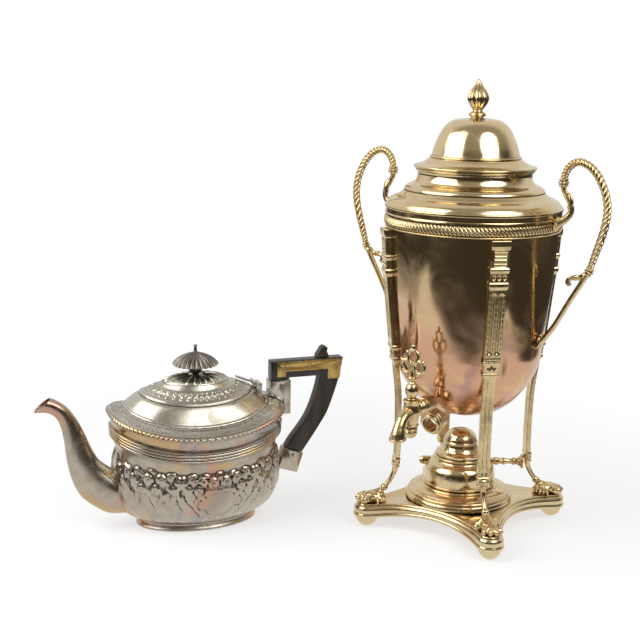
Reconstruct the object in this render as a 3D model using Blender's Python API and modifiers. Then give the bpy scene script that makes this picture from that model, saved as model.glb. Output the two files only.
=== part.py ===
# Brass tea urn with a spirit burner, and its silver plated teapot.
# Metres, +Z up, standing on the table at z = 0, with the middle of the set at the origin.
# The urn's tap points along its own -Y, its handles along X and its legs along the diagonals.
# The teapot's spout points along its own -X and its handle along +X.
from math import atan2, cos, pi, radians, sin, sqrt

import bmesh
import bpy
from mathutils import Matrix, Vector

MM = 0.001

# Where the two stand
URN_TURN = radians(-34.7)
TEAPOT_TURN = radians(20.0)
TEAPOT_FROM_URN_X = -274 * MM
TEAPOT_FROM_URN_Y = -5 * MM

# Clearances and cutting
SEAT_GAP = 0.3 * MM
RUN_GAP = 0.05 * MM
OVERRUN = 5 * MM

# Urn bowl
BOWL_BASE_Z = 117.8 * MM
BOWL_DEPTH = 204 * MM
BOWL_MOUTH_RADIUS = 83.9 * MM
BOWL_WALL = 1.5 * MM
BORDER_HEIGHT = 15 * MM
BORDER_THICKNESS = 3.7 * MM

# Urn lid
LID_OVERHANG = 3.4 * MM
LID_HEIGHT = 91 * MM
LID_WALL = 1.2 * MM
LID_COLLAR_DEPTH = 9 * MM
LID_COLLAR_PLAY = 0.7 * MM
LID_FINIAL_HEIGHT = 36.7 * MM
LID_FINIAL_RADIUS = 10.6 * MM
LID_STUD_RADIUS = 2.2 * MM
LID_STUD_LENGTH = 8 * MM
LID_NUT_RADIUS = 5 * MM
LID_NUT_HEIGHT = 3.5 * MM

# Base plate and ball feet
BALL_RADIUS = 11.4 * MM
BALL_FLAT_RADIUS = 3.5 * MM
BALL_CIRCLE_SHARE = 1.1376
FOOT_STUD_RADIUS = 2 * MM
FOOT_STUD_LENGTH = 6 * MM
PLATE_WALL = 1.3 * MM
PLATE_TOP_Z = 27.5 * MM
PLATE_CORNER_TOP_Z = 24.8 * MM
PLATE_SKIRT = 10.5 * MM
PLATE_CORNER_SKIRT = 13.5 * MM
PLATE_MID_RADIUS = 59.5 * MM
PLATE_TONGUE_RADIUS = 13.8 * MM
PLATE_EDGE_WIDTH = 6 * MM
PLATE_MIDDLE_RADIUS = 40 * MM

# Legs
LEG_STAND_OFF = 3.3 * MM
LEG_WIDTH = 19.5 * MM
LEG_DEPTH = 8 * MM
LEG_CHAMFER_SHARE = 0.2

# Handles of the urn
HANDLE_REACH = 54.1 * MM
HANDLE_RISE = 74 * MM
HANDLE_DROP = 102 * MM
HANDLE_STRAP = 6.4 * MM
HANDLE_TWIST = 7.6 * MM
HANDLE_COLLAR = 11 * MM
HANDLE_LUG_WIDTH = 9 * MM

# Tap
TAP_Z = 143 * MM
TAP_REACH = 51.7 * MM
TAP_SHANK_RADIUS = 4.6 * MM
TAP_BARREL_RADIUS = 6.6 * MM
TAP_BORE_RADIUS = 2.7 * MM
TAP_HOUSING_RADIUS = 8.3 * MM
TAP_HOUSING_HEIGHT = 26 * MM
TAP_PLUG_TOP_RADIUS = 5.6 * MM
TAP_PLUG_BASE_RADIUS = 4.6 * MM
TAP_SQUARE_RADIUS = 2.8 * MM
TAP_SQUARE_HEIGHT = 6 * MM
TAP_TAIL_RADIUS = 2.4 * MM
TAP_NUT_RADIUS = 6.6 * MM
TAP_NUT_HEIGHT = 9 * MM
TAP_WASHER_THICKNESS = 1 * MM
TAP_KEY_KNOB_RADIUS = 6.3 * MM
TAP_KEY_HEIGHT = 54 * MM
TAP_KEY_LOBE_RADIUS = 5.6 * MM
TAP_KEY_WIRE_RADIUS = 1.8 * MM
TAP_NOZZLE_REACH = 22 * MM
TAP_NOZZLE_DROP = 23 * MM
TAP_NOZZLE_RADIUS = 5.6 * MM
TAP_NOZZLE_MOUTH_RADIUS = 7.6 * MM
TAP_ESCUTCHEON_RADIUS = 12.5 * MM
TAP_ESCUTCHEON_THICKNESS = 7 * MM
TAP_BACK_FLANGE_RADIUS = 8.5 * MM
TAP_BACK_FLANGE_LENGTH = 9 * MM

# Burner
BURNER_SHIFT_X = -2.2 * MM
STAND_RADIUS = 54.5 * MM
STAND_HEIGHT = 13.7 * MM
STAND_WALL = 1 * MM
RESERVOIR_RADIUS = 36.5 * MM
RESERVOIR_HEIGHT = 30.5 * MM
RESERVOIR_WALL = 1 * MM
RESERVOIR_MOUTH_RADIUS = 12.5 * MM
COLLAR_FLANGE_RADIUS = 15.5 * MM
COLLAR_FLANGE_HEIGHT = 1.6 * MM
COLLAR_NECK_LENGTH = 6 * MM
WICK_RADIUS = 4.6 * MM
WICK_LENGTH = 36 * MM
WICK_PROUD = 2.2 * MM
WICK_TUBE_PLAY = 0.3 * MM
WICK_TUBE_WALL = 0.8 * MM
WICK_TUBE_LENGTH = 35 * MM
WICK_TUBE_PROUD = 9 * MM
SPINDLE_DROP = 10.5 * MM
SPINDLE_RADIUS = 1.5 * MM
PINION_RADIUS = 2.9 * MM
PINION_LENGTH = 3.2 * MM
PINION_GAP = 0.1 * MM
SPINDLE_KNOB_INSET = 21.2 * MM
SPINDLE_KNOB_RADIUS = 7.7 * MM
SPINDLE_STEM_RADIUS = 3 * MM
GLAND_RADIUS = 4 * MM
GLAND_REACH = 41 * MM
END_CAP_RADIUS = 4.4 * MM
END_CAP_REACH = 41 * MM
END_CAP_WALL = 2 * MM
SNUFFER_RADIUS = 25 * MM
SNUFFER_HEIGHT = 27 * MM
SNUFFER_WALL = 0.9 * MM
BURNER_BOLT_RADIUS = 2.5 * MM
BURNER_BOLT_HEAD_RADIUS = 5.5 * MM
BURNER_BOLT_HEAD_HEIGHT = 2.5 * MM
BURNER_BOLT_LENGTH = 20.2 * MM
BURNER_NUT_HEIGHT = 2.6 * MM

# Teapot body, all outlines are half lengths and half widths of ovals
POT_LENGTH = 90 * MM
POT_WIDTH = 65.2 * MM
POT_RIM_Z = 105 * MM
POT_END_LIFT = 15.8 * MM
POT_WALL = 1.1 * MM
POT_RIM_WIRE = 2.5 * MM
FOOT_RING_LENGTH = 62.5 * MM
FOOT_RING_WIDTH = 39.5 * MM
FOOT_RING_HEIGHT = 6 * MM
FOOT_RING_THICKNESS = 3 * MM
FOOT_RING_FLARE = 2.5 * MM
SHOULDER_RISE = 23.4 * MM
SHOULDER_WALL = 1 * MM
STRAINER_HOLE_RADIUS = 2.1 * MM
STRAINER_PITCH = 8.5 * MM
STRAINER_Z = 37 * MM

# Teapot lid
POT_LID_INSET = 1.1 * MM
POT_LID_HEIGHT = 23.6 * MM
POT_LID_WALL = 1 * MM
POT_LID_END_LIFT = 7.6 * MM
POT_FINIAL_HEIGHT = 30 * MM
POT_FINIAL_RADIUS = 23.5 * MM
POT_FINIAL_STEM_RADIUS = 2.6 * MM
POT_BALL_RADIUS = 6.7 * MM
POT_BALL_HEIGHT = 8.5 * MM
POT_STUD_RADIUS = 1.6 * MM
POT_STUD_LENGTH = 5 * MM
POT_NUT_RADIUS = 4 * MM
POT_NUT_HEIGHT = 2.5 * MM
HINGE_BARREL_RADIUS = 2.2 * MM
HINGE_PIN_RADIUS = 1 * MM
HINGE_KNUCKLE_LENGTH = 5.5 * MM
HINGE_KNUCKLE_GAP = 0.25 * MM
HINGE_STRAP_LENGTH = 20 * MM
HINGE_STRAP_THICKNESS = 1.6 * MM
HINGE_LEAF_LENGTH = 6 * MM
HINGE_OUT = 3.6 * MM
HINGE_UP = 2.6 * MM

# Teapot spout
SPOUT_REACH = 160.8 * MM
SPOUT_HEIGHT = 138.7 * MM
SPOUT_WIDTH = 17 * MM
SPOUT_WALL = 1 * MM

# Teapot handle
GRIP_THICKNESS = 13 * MM
GRIP_REACH = 67.5 * MM
GRIP_TOP_Z = 161.5 * MM
GRIP_BASE_Z = 64 * MM
GRIP_ROUNDING = 1.4 * MM
SOCKET_INSET = 11.5 * MM
SOCKET_WIDTH = 19.5 * MM
SOCKET_TOP_Z = 141 * MM
SOCKET_PROUD = 1.2 * MM
LOWER_SOCKET_LENGTH = 22 * MM
TENON_LENGTH = 9 * MM
TENON_WALL = 2 * MM
SOCKET_PIN_RADIUS = 1.1 * MM
GRIP_PLATE_THICKNESS = 1.1 * MM
GRIP_PLATE_HEIGHT = 15.5 * MM
GRIP_SCREW_RADIUS = 1.2 * MM
GRIP_SCREW_HEAD_RADIUS = 2.4 * MM
GRIP_SCREW_LENGTH = 6 * MM
THUMB_REST_HEIGHT = 12.5 * MM
THUMB_REST_WIDTH = 10 * MM

# Fineness
LARGE_STEPS = 24
SMALL_STEPS = 12
LOBE_STEPS = 10
OVAL_STEPS = 24

for old in list(bpy.data.objects):
    bpy.data.objects.remove(old, do_unlink=True)

parts = bpy.data.collections.new("tea_urn_and_teapot")
cutters = bpy.data.collections.new("cutters")
bpy.context.scene.collection.children.link(parts)
bpy.context.scene.collection.children.link(cutters)


def make_material(name, colour, roughness, metallic):
    material = bpy.data.materials.new(name)
    material.use_nodes = True
    shader = material.node_tree.nodes["Principled BSDF"]
    shader.inputs["Base Color"].default_value = (*colour, 1.0)
    shader.inputs["Roughness"].default_value = roughness
    shader.inputs["Metallic"].default_value = metallic
    material.diffuse_color = (*colour, 1.0)
    return material


brass = make_material("urn_brass", (0.62, 0.47, 0.25), 0.2, 1.0)
dark_brass = make_material("aged_brass", (0.42, 0.31, 0.16), 0.35, 1.0)
silver = make_material("silver_plate", (0.60, 0.55, 0.50), 0.22, 1.0)
dark_silver = make_material("tarnished_silver", (0.16, 0.14, 0.13), 0.4, 1.0)
ebony = make_material("ebony", (0.02, 0.017, 0.015), 0.35, 0.0)
wick_cotton = make_material("wick_cotton", (0.75, 0.70, 0.60), 0.95, 0.0)


def empty(name, parent=None, location=(0, 0, 0), rotation=(0, 0, 0)):
    holder = bpy.data.objects.new(name, None)
    holder.empty_display_size = BALL_RADIUS
    holder.location = location
    holder.rotation_euler = rotation
    holder.parent = parent
    parts.objects.link(holder)
    return holder


set_middle = empty("set_middle")
urn_axis = empty("urn_axis", set_middle, (0, 0, 0), (0, 0, URN_TURN))
teapot_axis = empty(
    "teapot_axis", set_middle, (TEAPOT_FROM_URN_X, TEAPOT_FROM_URN_Y, 0), (0, 0, TEAPOT_TURN)
)
burner_axis = empty(
    "burner_axis",
    urn_axis,
    (BURNER_SHIFT_X * cos(URN_TURN), -BURNER_SHIFT_X * sin(URN_TURN), PLATE_TOP_Z + SEAT_GAP),
    (0, 0, -URN_TURN),
)


def add_object(name, mesh, material, parent, location=(0, 0, 0), rotation=(0, 0, 0)):
    obj = bpy.data.objects.new(name, mesh)
    if material:
        mesh.materials.append(material)
    obj.parent = parent
    obj.location = location
    obj.rotation_euler = rotation
    parts.objects.link(obj)
    return obj


def make_cutter(obj):
    parts.objects.unlink(obj)
    cutters.objects.link(obj)
    obj.hide_render = True
    obj.display_type = "WIRE"
    return obj


def smooth(obj, angle=40):
    obj.data.shade_smooth()
    obj.data.set_sharp_from_angle(angle=radians(angle))
    return obj


def solidify(obj, wall):
    shell = obj.modifiers.new("wall", "SOLIDIFY")
    shell.thickness = wall
    shell.offset = -1
    shell.use_even_offset = True
    return obj


def cut(obj, cutter, operation="DIFFERENCE"):
    change = obj.modifiers.new(operation.lower(), "BOOLEAN")
    change.operation = operation
    change.solver = "EXACT"
    change.object = cutter
    return obj


def turned(name, profile, material, parent, location=(0, 0, 0), rotation=(0, 0, 0),
           steps=LARGE_STEPS, wall=0, closed=False):
    """Turn a profile of (radius, height) about the object's Z. The outer side runs downwards."""
    mesh = bpy.data.meshes.new(name)
    edges = [(i, i + 1) for i in range(len(profile) - 1)]
    if closed:
        edges.append((len(profile) - 1, 0))
    mesh.from_pydata([(radius, 0, height) for radius, height in profile], edges, [])
    obj = add_object(name, mesh, material, parent, location, rotation)
    screw = obj.modifiers.new("turn", "SCREW")
    screw.steps = steps
    screw.render_steps = steps
    screw.use_merge_vertices = True
    screw.merge_threshold = 0.00001
    screw.use_smooth_shade = True
    if wall:
        solidify(obj, wall)
    return obj


def shared(profile, width, height, base=0.0):
    """Points given as shares of a width and a height, with the height counted from base."""
    return [(x * width, base + z * height) for x, z in profile]


def loft_mesh(name, rings, closing):
    """Join rings of points, with closing naming the ends that get a flat face."""
    count = len(rings[0])
    points = [point for ring in rings for point in ring]
    faces = []
    for row in range(len(rings) - 1):
        for i in range(count):
            j = (i + 1) % count
            a = row * count
            b = a + count
            faces.append((a + i, a + j, b + j, b + i))
    if "first" in closing:
        faces.append(tuple(reversed(range(count))))
    if "last" in closing:
        start = (len(rings) - 1) * count
        faces.append(tuple(range(start, start + count)))
    if "round" in closing:
        start = (len(rings) - 1) * count
        for i in range(count):
            j = (i + 1) % count
            faces.append((start + i, start + j, j, i))
    mesh = bpy.data.meshes.new(name)
    mesh.from_pydata(points, [], faces)
    return mesh


def face_out(mesh):
    work = bmesh.new()
    work.from_mesh(mesh)
    bmesh.ops.recalc_face_normals(work, faces=work.faces)
    work.to_mesh(mesh)
    work.free()
    return mesh


def loft(name, rings, closing, material, parent, location=(0, 0, 0), rotation=(0, 0, 0), wall=0):
    mesh = loft_mesh(name, rings, closing)
    obj = add_object(name, mesh, material, parent, location, rotation)
    smooth(obj)
    if wall:
        solidify(obj, wall)
    return obj


def curve_points(points, steps):
    """A smooth curve through points of any size, sampled evenly between each pair."""
    ends = [2 * points[0] - points[1]] + points + [2 * points[-1] - points[-2]]
    out = []
    for i in range(1, len(ends) - 2):
        a, b, c, d = ends[i - 1:i + 3]
        for step in range(steps):
            t = step / steps
            out.append(
                0.5 * (2 * b + (c - a) * t + (2 * a - 5 * b + 4 * c - d) * t * t
                       + (3 * b - a - 3 * c + d) * t * t * t)
            )
    out.append(points[-1])
    return out


def tube(name, route, radii, material, parent, resolution=1):
    """A solid tube along a route, each point with its own radius, made a closed mesh."""
    widest = max(radii)
    data = bpy.data.curves.new(name, "CURVE")
    data.dimensions = "3D"
    data.bevel_depth = widest
    data.bevel_resolution = resolution
    data.use_fill_caps = True
    spline = data.splines.new("POLY")
    spline.points.add(len(route) - 1)
    for point, place, radius in zip(spline.points, route, radii):
        point.co = (*place, 1)
        point.radius = radius / widest
    guide = bpy.data.objects.new(name + "_guide", data)
    parts.objects.link(guide)
    return meshed(guide, name, material, parent)


def meshed(guide, name, material, parent, location=(0, 0, 0), rotation=(0, 0, 0)):
    """Turn a curve object into a closed mesh object and remove the curve."""
    bpy.context.view_layer.update()
    graph = bpy.context.evaluated_depsgraph_get()
    mesh = bpy.data.meshes.new_from_object(guide.evaluated_get(graph))
    mesh.name = name
    work = bmesh.new()
    work.from_mesh(mesh)
    bmesh.ops.remove_doubles(work, verts=work.verts, dist=0.00001)
    bmesh.ops.transform(work, matrix=guide.matrix_world, verts=work.verts)
    bmesh.ops.recalc_face_normals(work, faces=work.faces)
    work.to_mesh(mesh)
    work.free()
    bpy.data.objects.remove(guide, do_unlink=True)
    obj = add_object(name, mesh, material, parent, location, rotation)
    return smooth(obj)


def flat_outline(name, outline, thickness, material, parent, location=(0, 0, 0)):
    """A flat piece whose outline lies in its XZ plane, as thick as given along Y."""
    data = bpy.data.curves.new(name, "CURVE")
    data.dimensions = "2D"
    data.fill_mode = "BOTH"
    data.extrude = thickness / 2
    spline = data.splines.new("POLY")
    spline.points.add(len(outline) - 1)
    for point, (x, z) in zip(spline.points, outline):
        point.co = (x, z, 0, 1)
    spline.use_cyclic_u = True
    guide = bpy.data.objects.new(name + "_guide", data)
    guide.rotation_euler = (pi / 2, 0, 0)
    parts.objects.link(guide)
    return meshed(guide, name, material, parent, location)


def cylinder(name, radius, length, material, parent, middle, rotation=(0, 0, 0),
             steps=SMALL_STEPS, end_radius=None):
    mesh = bpy.data.meshes.new(name)
    work = bmesh.new()
    top = radius if end_radius is None else end_radius
    bmesh.ops.create_cone(work, cap_ends=True, segments=steps, radius1=radius, radius2=top,
                          depth=length)
    work.to_mesh(mesh)
    work.free()
    return smooth(add_object(name, mesh, material, parent, middle, rotation))


def box(name, size, material, parent, middle, rotation=(0, 0, 0)):
    mesh = bpy.data.meshes.new(name)
    work = bmesh.new()
    bmesh.ops.create_cube(work, size=1)
    bmesh.ops.scale(work, vec=size, verts=work.verts)
    work.to_mesh(mesh)
    work.free()
    return add_object(name, mesh, material, parent, middle, rotation)


def joined(base, *others):
    for other in others:
        cut(base, make_cutter(other), "UNION")
    return base


def clear_radius(radius, steps=SMALL_STEPS):
    """The radius of a faceted hole that a round shaft of this radius runs in."""
    return (radius + RUN_GAP) / cos(pi / steps)


# Bowl of the urn

BOWL_PROFILE_SHARES = [
    (1.0, 1.0), (1.0, 0.9), (0.971, 0.71), (0.946, 0.586), (0.896, 0.378), (0.873, 0.295),
    (0.835, 0.24), (0.778, 0.189), (0.696, 0.136), (0.578, 0.077), (0.441, 0.035), (0.26, 0.009),
    (0.0, 0.0),
]
bowl_profile = shared(BOWL_PROFILE_SHARES, BOWL_MOUTH_RADIUS, BOWL_DEPTH, BOWL_BASE_Z)
BOWL_TOP_Z = BOWL_BASE_Z + BOWL_DEPTH
BOWL_FALL_SHARE = 0.87
WALL_SLANT_SHARE = 1.225


def bowl_radius(height):
    """The bowl's outer radius at a height."""
    for (r1, z1), (r0, z0) in zip(bowl_profile, bowl_profile[1:]):
        if z0 <= height <= z1:
            return r0 + (r1 - r0) * (height - z0) / (z1 - z0)
    return BOWL_MOUTH_RADIUS


def bowl_solid(name, grow):
    """A cutter of the bowl's outer form, grown outwards by a gap."""
    profile = [(0.0, BOWL_TOP_Z + OVERRUN), (BOWL_MOUTH_RADIUS + grow, BOWL_TOP_Z + OVERRUN)]
    profile += [(radius + grow, height - grow * (radius < BOWL_MOUTH_RADIUS * BOWL_FALL_SHARE))
                for radius, height in bowl_profile[1:-1]]
    profile.append((0.0, BOWL_BASE_Z - grow))
    return make_cutter(turned(name, profile, None, urn_axis))


bowl_seat = bowl_solid("bowl_seat", SEAT_GAP)
bowl_inside = bowl_solid("bowl_inside", -(BOWL_WALL + SEAT_GAP) * WALL_SLANT_SHARE)
bowl = turned("urn_bowl", bowl_profile, brass, urn_axis, wall=BOWL_WALL)

BORDER_SHARES = [
    (0.6, 1.0), (0.78, 0.8), (0.9, 0.68), (1.0, 0.45), (0.9, 0.2), (0.6, 0.0), (0.0, 0.0),
    (0.0, 1.0),
]
border_base = BOWL_TOP_Z - BORDER_HEIGHT
border_profile = [
    (BOWL_MOUTH_RADIUS + SEAT_GAP + x * BORDER_THICKNESS, border_base + z * BORDER_HEIGHT)
    for x, z in BORDER_SHARES
]
turned("rope_border", border_profile, brass, urn_axis, closed=True)

# Lid of the urn, with its finial

LID_PROFILE_SHARES = [
    (0.13, 0.997), (0.263, 0.978), (0.34, 0.93), (0.388, 0.868), (0.43, 0.79), (0.468, 0.698),
    (0.493, 0.61), (0.535, 0.575),
    (0.552, 0.547), (0.607, 0.514), (0.68, 0.481), (0.68, 0.455), (0.644, 0.42), (0.664, 0.335),
    (0.699, 0.301), (0.774, 0.264), (0.792, 0.215), (0.83, 0.182), (0.905, 0.154), (0.968, 0.113),
    (1.0, 0.059), (0.996, 0.004),
]
lid_seat_z = BOWL_TOP_Z + SEAT_GAP
lid_top_z = lid_seat_z + LID_HEIGHT
lid_radius = BOWL_MOUTH_RADIUS + LID_OVERHANG
lid_collar_radius = BOWL_MOUTH_RADIUS - BOWL_WALL - LID_COLLAR_PLAY
lid_profile = [(LID_STUD_RADIUS + SEAT_GAP, lid_top_z)]
lid_profile += shared(LID_PROFILE_SHARES, lid_radius, LID_HEIGHT, lid_seat_z)
lid_profile += [(lid_collar_radius, lid_seat_z), (lid_collar_radius, lid_seat_z - LID_COLLAR_DEPTH)]
turned("urn_lid", lid_profile, brass, urn_axis, wall=LID_WALL)

LID_FINIAL_SHARES = [
    (0.0, 1.0), (0.12, 0.985), (0.3, 0.93), (0.57, 0.81), (0.85, 0.65), (1.0, 0.5), (0.94, 0.4),
    (0.7, 0.3), (0.45, 0.21), (0.33, 0.15), (0.45, 0.1), (0.78, 0.08), (0.8, 0.0),
]
finial_base = lid_top_z + SEAT_GAP
finial_profile = shared(LID_FINIAL_SHARES, LID_FINIAL_RADIUS, LID_FINIAL_HEIGHT, finial_base)
finial_profile += [
    (LID_STUD_RADIUS, finial_base), (LID_STUD_RADIUS, lid_top_z - LID_STUD_LENGTH),
    (0.0, lid_top_z - LID_STUD_LENGTH),
]
turned("urn_lid_finial", finial_profile, brass, urn_axis, steps=SMALL_STEPS)
lid_nut_top = lid_top_z - LID_WALL - SEAT_GAP
lid_nut_profile = [
    (LID_STUD_RADIUS + SEAT_GAP, lid_nut_top), (LID_NUT_RADIUS, lid_nut_top),
    (LID_NUT_RADIUS, lid_nut_top - LID_NUT_HEIGHT),
    (LID_STUD_RADIUS + SEAT_GAP, lid_nut_top - LID_NUT_HEIGHT),
]
turned("urn_lid_nut", lid_nut_profile, dark_brass, urn_axis, steps=SMALL_STEPS, closed=True)

# Base plate on its four ball feet

SIDE_STEPS = 4
TONGUE_STEPS = 5
PLATE_EDGE_SHARES = [(0.0, 1.0), (0.03, 0.72), (0.25, 0.36), (0.6, 0.1), (1.0, 0.0)]
leg_top_radius = BOWL_MOUTH_RADIUS + LEG_STAND_OFF
ball_circle_radius = BALL_CIRCLE_SHARE * leg_top_radius


def plate_outline(inset):
    """Points round the plate: four round tongues joined by concave sides, drawn in by inset."""
    middle = PLATE_MID_RADIUS
    tip = ball_circle_radius
    tongue = PLATE_TONGUE_RADIUS
    side = (middle ** 2 + tip ** 2 - sqrt(2) * tip * middle - tongue ** 2) / (
        sqrt(2) * tip + 2 * tongue - 2 * middle)
    reach = middle + side
    centre = Vector((tip * cos(pi / 4), tip * sin(pi / 4)))
    meet = atan2(centre.y, reach - centre.x)
    points = []
    for quarter in range(4):
        turn = Matrix.Rotation(quarter * pi / 2, 2)
        for step in range(SIDE_STEPS):
            angle = pi + meet - 2 * meet * step / SIDE_STEPS
            points.append(turn @ Vector((reach + (side + inset) * cos(angle),
                                         (side + inset) * sin(angle))))
        start = -meet
        sweep = pi / 2 + 2 * meet
        for step in range(TONGUE_STEPS):
            angle = start + sweep * step / TONGUE_STEPS
            points.append(turn @ (centre + (tongue - inset) * Vector((cos(angle), sin(angle)))))
    return points


def plate_rings():
    """Rings from the foot of the skirt up over the edge to the plate's flat middle."""
    rings = []
    for inset_share, drop_share in PLATE_EDGE_SHARES:
        ring = []
        for point in plate_outline(inset_share * PLATE_EDGE_WIDTH):
            reach = (point.length - PLATE_MID_RADIUS) / (ball_circle_radius - PLATE_MID_RADIUS)
            corner = min(1, max(0, reach))
            top = PLATE_TOP_Z + corner * (PLATE_CORNER_TOP_Z - PLATE_TOP_Z)
            skirt = PLATE_SKIRT + corner * (PLATE_CORNER_SKIRT - PLATE_SKIRT)
            ring.append(Vector((*point, top - drop_share * skirt)))
        rings.append(ring)
    flat_edge = plate_outline(PLATE_EDGE_WIDTH)
    rings.append([Vector((*(point.normalized() * PLATE_MIDDLE_RADIUS), PLATE_TOP_Z))
                  for point in flat_edge])
    return rings


base_plate = loft("base_plate", plate_rings(), ("last",), brass, urn_axis, wall=PLATE_WALL)
bolt_hole = cylinder("bolt_hole", BURNER_BOLT_RADIUS + SEAT_GAP, PLATE_TOP_Z, None, burner_axis,
                     (0, 0, 0))
cut(base_plate, make_cutter(bolt_hole))
LEG_NAMES = ("front_right", "back_right", "back_left", "front_left")
BALL_STEPS = 6


def ball_foot_profile():
    """A ball with a flat under it and a stud on top, from the stud's top down."""
    stud_top = PLATE_CORNER_TOP_Z + FOOT_STUD_LENGTH
    profile = [(0.0, stud_top), (FOOT_STUD_RADIUS, stud_top)]
    high = pi / 2 - FOOT_STUD_RADIUS / BALL_RADIUS
    low = -pi / 2 + BALL_FLAT_RADIUS / BALL_RADIUS
    flat_depth = BALL_RADIUS * -sin(low)
    for step in range(BALL_STEPS + 1):
        angle = high + (low - high) * step / BALL_STEPS
        profile.append((BALL_RADIUS * cos(angle), flat_depth + BALL_RADIUS * sin(angle)))
    profile[-1] = (profile[-1][0], 0.0)
    profile.append((0.0, 0.0))
    return profile


for number, name in enumerate(LEG_NAMES):
    angle = -pi / 4 + number * pi / 2
    spot = (ball_circle_radius * cos(angle), ball_circle_radius * sin(angle), 0)
    turned("ball_foot_" + name, ball_foot_profile(), brass, urn_axis, spot, steps=SMALL_STEPS)
    hole = cylinder("foot_hole_" + name, FOOT_STUD_RADIUS + SEAT_GAP, PLATE_TOP_Z, None, urn_axis,
                    (spot[0], spot[1], PLATE_TOP_Z))
    cut(base_plate, make_cutter(hole))

# Legs: each is one casting, lofted down from its cap to its paw.
# A station is the share of the leg's height, the share of its top radius, the share of its
# width, the share of its depth, and how far its section is tipped outwards in degrees.

LEG_STATION_SHARES = [
    (1.0, 1.0, 0.97, 1.0, 0), (0.975, 1.0, 0.97, 1.0, 0), (0.972, 0.99, 0.89, 0.81, 0),
    (0.912, 0.986, 0.89, 0.8, 0), (0.909, 0.989, 1.0, 1.0, 0), (0.893, 0.987, 1.0, 1.0, 0),
    (0.89, 0.98, 0.9, 0.82, 0), (0.857, 0.979, 0.9, 0.82, 0), (0.854, 0.979, 1.0, 1.0, 0),
    (0.84, 0.977, 1.0, 1.0, 0), (0.837, 0.969, 0.86, 0.78, 0), (0.6, 0.888, 0.79, 0.74, 0),
    (0.596, 0.891, 0.92, 0.95, 0), (0.573, 0.884, 0.92, 0.95, 0), (0.57, 0.876, 0.77, 0.76, 0),
    (0.537, 0.864, 0.77, 0.76, 0), (0.525, 0.858, 0.85, 0.9, 0), (0.521, 0.848, 0.67, 0.64, 0),
    (0.4, 0.8, 0.62, 0.62, 0), (0.23, 0.79, 0.58, 0.62, 0), (0.168, 0.799, 0.56, 0.62, 0),
    (0.163, 0.8, 0.68, 0.88, 0), (0.135, 0.807, 0.68, 0.9, 5), (0.13, 0.81, 0.36, 0.62, 8),
    (0.09, 0.853, 0.33, 0.6, 30), (0.056, 0.915, 0.32, 0.58, 48), (0.04, 0.98, 0.4, 0.75, 75),
    (0.033, 1.035, 0.85, 1.15, 90), (0.03, 1.1, 1.15, 1.3, 90), (0.024, 1.2, 1.15, 1.15, 90),
    (0.016, 1.26, 0.8, 0.75, 90),
]
leg_base_z = PLATE_CORNER_TOP_Z + SEAT_GAP
leg_height = border_base - SEAT_GAP - leg_base_z


def leg_rings():
    """Chamfered sections of the leg, seen along its own X as outwards."""
    rings = []
    for height, radius, width, depth, tip in LEG_STATION_SHARES:
        half_width = width * LEG_WIDTH / 2
        half_depth = depth * LEG_DEPTH / 2
        chamfer = LEG_CHAMFER_SHARE * min(half_width, half_depth) * 2
        corners = []
        for sx, sy in ((1, -1), (1, 1), (-1, 1), (-1, -1)):
            pair = [(sx * half_depth, sy * (half_width - chamfer)),
                    (sx * (half_depth - chamfer), sy * half_width)]
            if sx * sy > 0:
                corners += pair
            else:
                corners += reversed(pair)
        z = leg_base_z + height * leg_height
        z = max(z, leg_base_z + half_depth * sin(radians(tip)))
        centre = Vector((radius * leg_top_radius, 0, z))
        turn = Matrix.Rotation(radians(-tip), 3, "Y")
        rings.append([centre + turn @ Vector((x, y, 0)) for x, y in corners])
    return rings


for number, name in enumerate(LEG_NAMES):
    angle = -pi / 4 + number * pi / 2
    leg = loft("leg_" + name, leg_rings(), ("first", "last"), brass, urn_axis,
               rotation=(0, 0, angle))
    face_out(leg.data)
    cut(leg, bowl_seat)
    stud_hole = cylinder("stud_hole_" + name, FOOT_STUD_RADIUS + SEAT_GAP,
                         2 * (FOOT_STUD_LENGTH + SEAT_GAP), None, urn_axis,
                         (ball_circle_radius * cos(angle), ball_circle_radius * sin(angle),
                          PLATE_CORNER_TOP_Z))
    cut(leg, make_cutter(stud_hole))

# Handles of the urn: shares of the reach, counted from the bowl's mouth radius, and of the rise
# above or the drop below the mouth.


def handle_point(out_share, rise_share):
    lift = HANDLE_RISE if rise_share > 0 else HANDLE_DROP
    return Vector((BOWL_MOUTH_RADIUS + out_share * HANDLE_REACH, 0,
                   border_base + BORDER_HEIGHT / 2 + rise_share * lift))


HANDLE_BRACKET_SHARES = [
    (-0.02, 0.0), (0.14, 0.07), (0.27, 0.14), (0.34, 0.25), (0.31, 0.36), (0.22, 0.47), (0.175, 0.56),
    (0.175, 0.66),
]
HANDLE_ARCH_SHARES = [
    (0.175, 0.66), (0.19, 0.8), (0.27, 0.92), (0.4, 0.965), (0.57, 0.945), (0.73, 0.85),
    (0.87, 0.69), (0.96, 0.51), (1.0, 0.3), (0.985, 0.1), (0.93, -0.075), (0.79, -0.28), (0.74, -0.37),
]
HANDLE_STEM_SHARES = [
    (0.74, -0.37), (0.68, -0.43), (0.56, -0.54), (0.43, -0.66), (0.28, -0.8), (0.1, -0.96),
    (-0.14, -1.13),
]
HANDLE_CURL_SHARES = [(0.68, -0.43), (0.56, -0.42), (0.43, -0.43), (0.38, -0.49), (0.45, -0.53)]
HANDLE_LEAF_SHARES = [(0.33, 0.28), (0.33, 0.37), (0.3, 0.43)]
BRACKET_WIDTH_SHARES = [1.3, 1.05, 1.0, 1.0, 0.95, 0.9, 0.9, 1.0]
ARCH_WIDTH_SHARES = [0.85, 0.9] + [1.0] * 9 + [0.9, 0.85]
STEM_WIDTH_SHARES = [1.1, 1.0, 0.85, 0.8, 0.75, 0.75, 0.8]
CURL_WIDTH_SHARES = [0.9, 0.8, 0.75, 0.7, 0.85]
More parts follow.
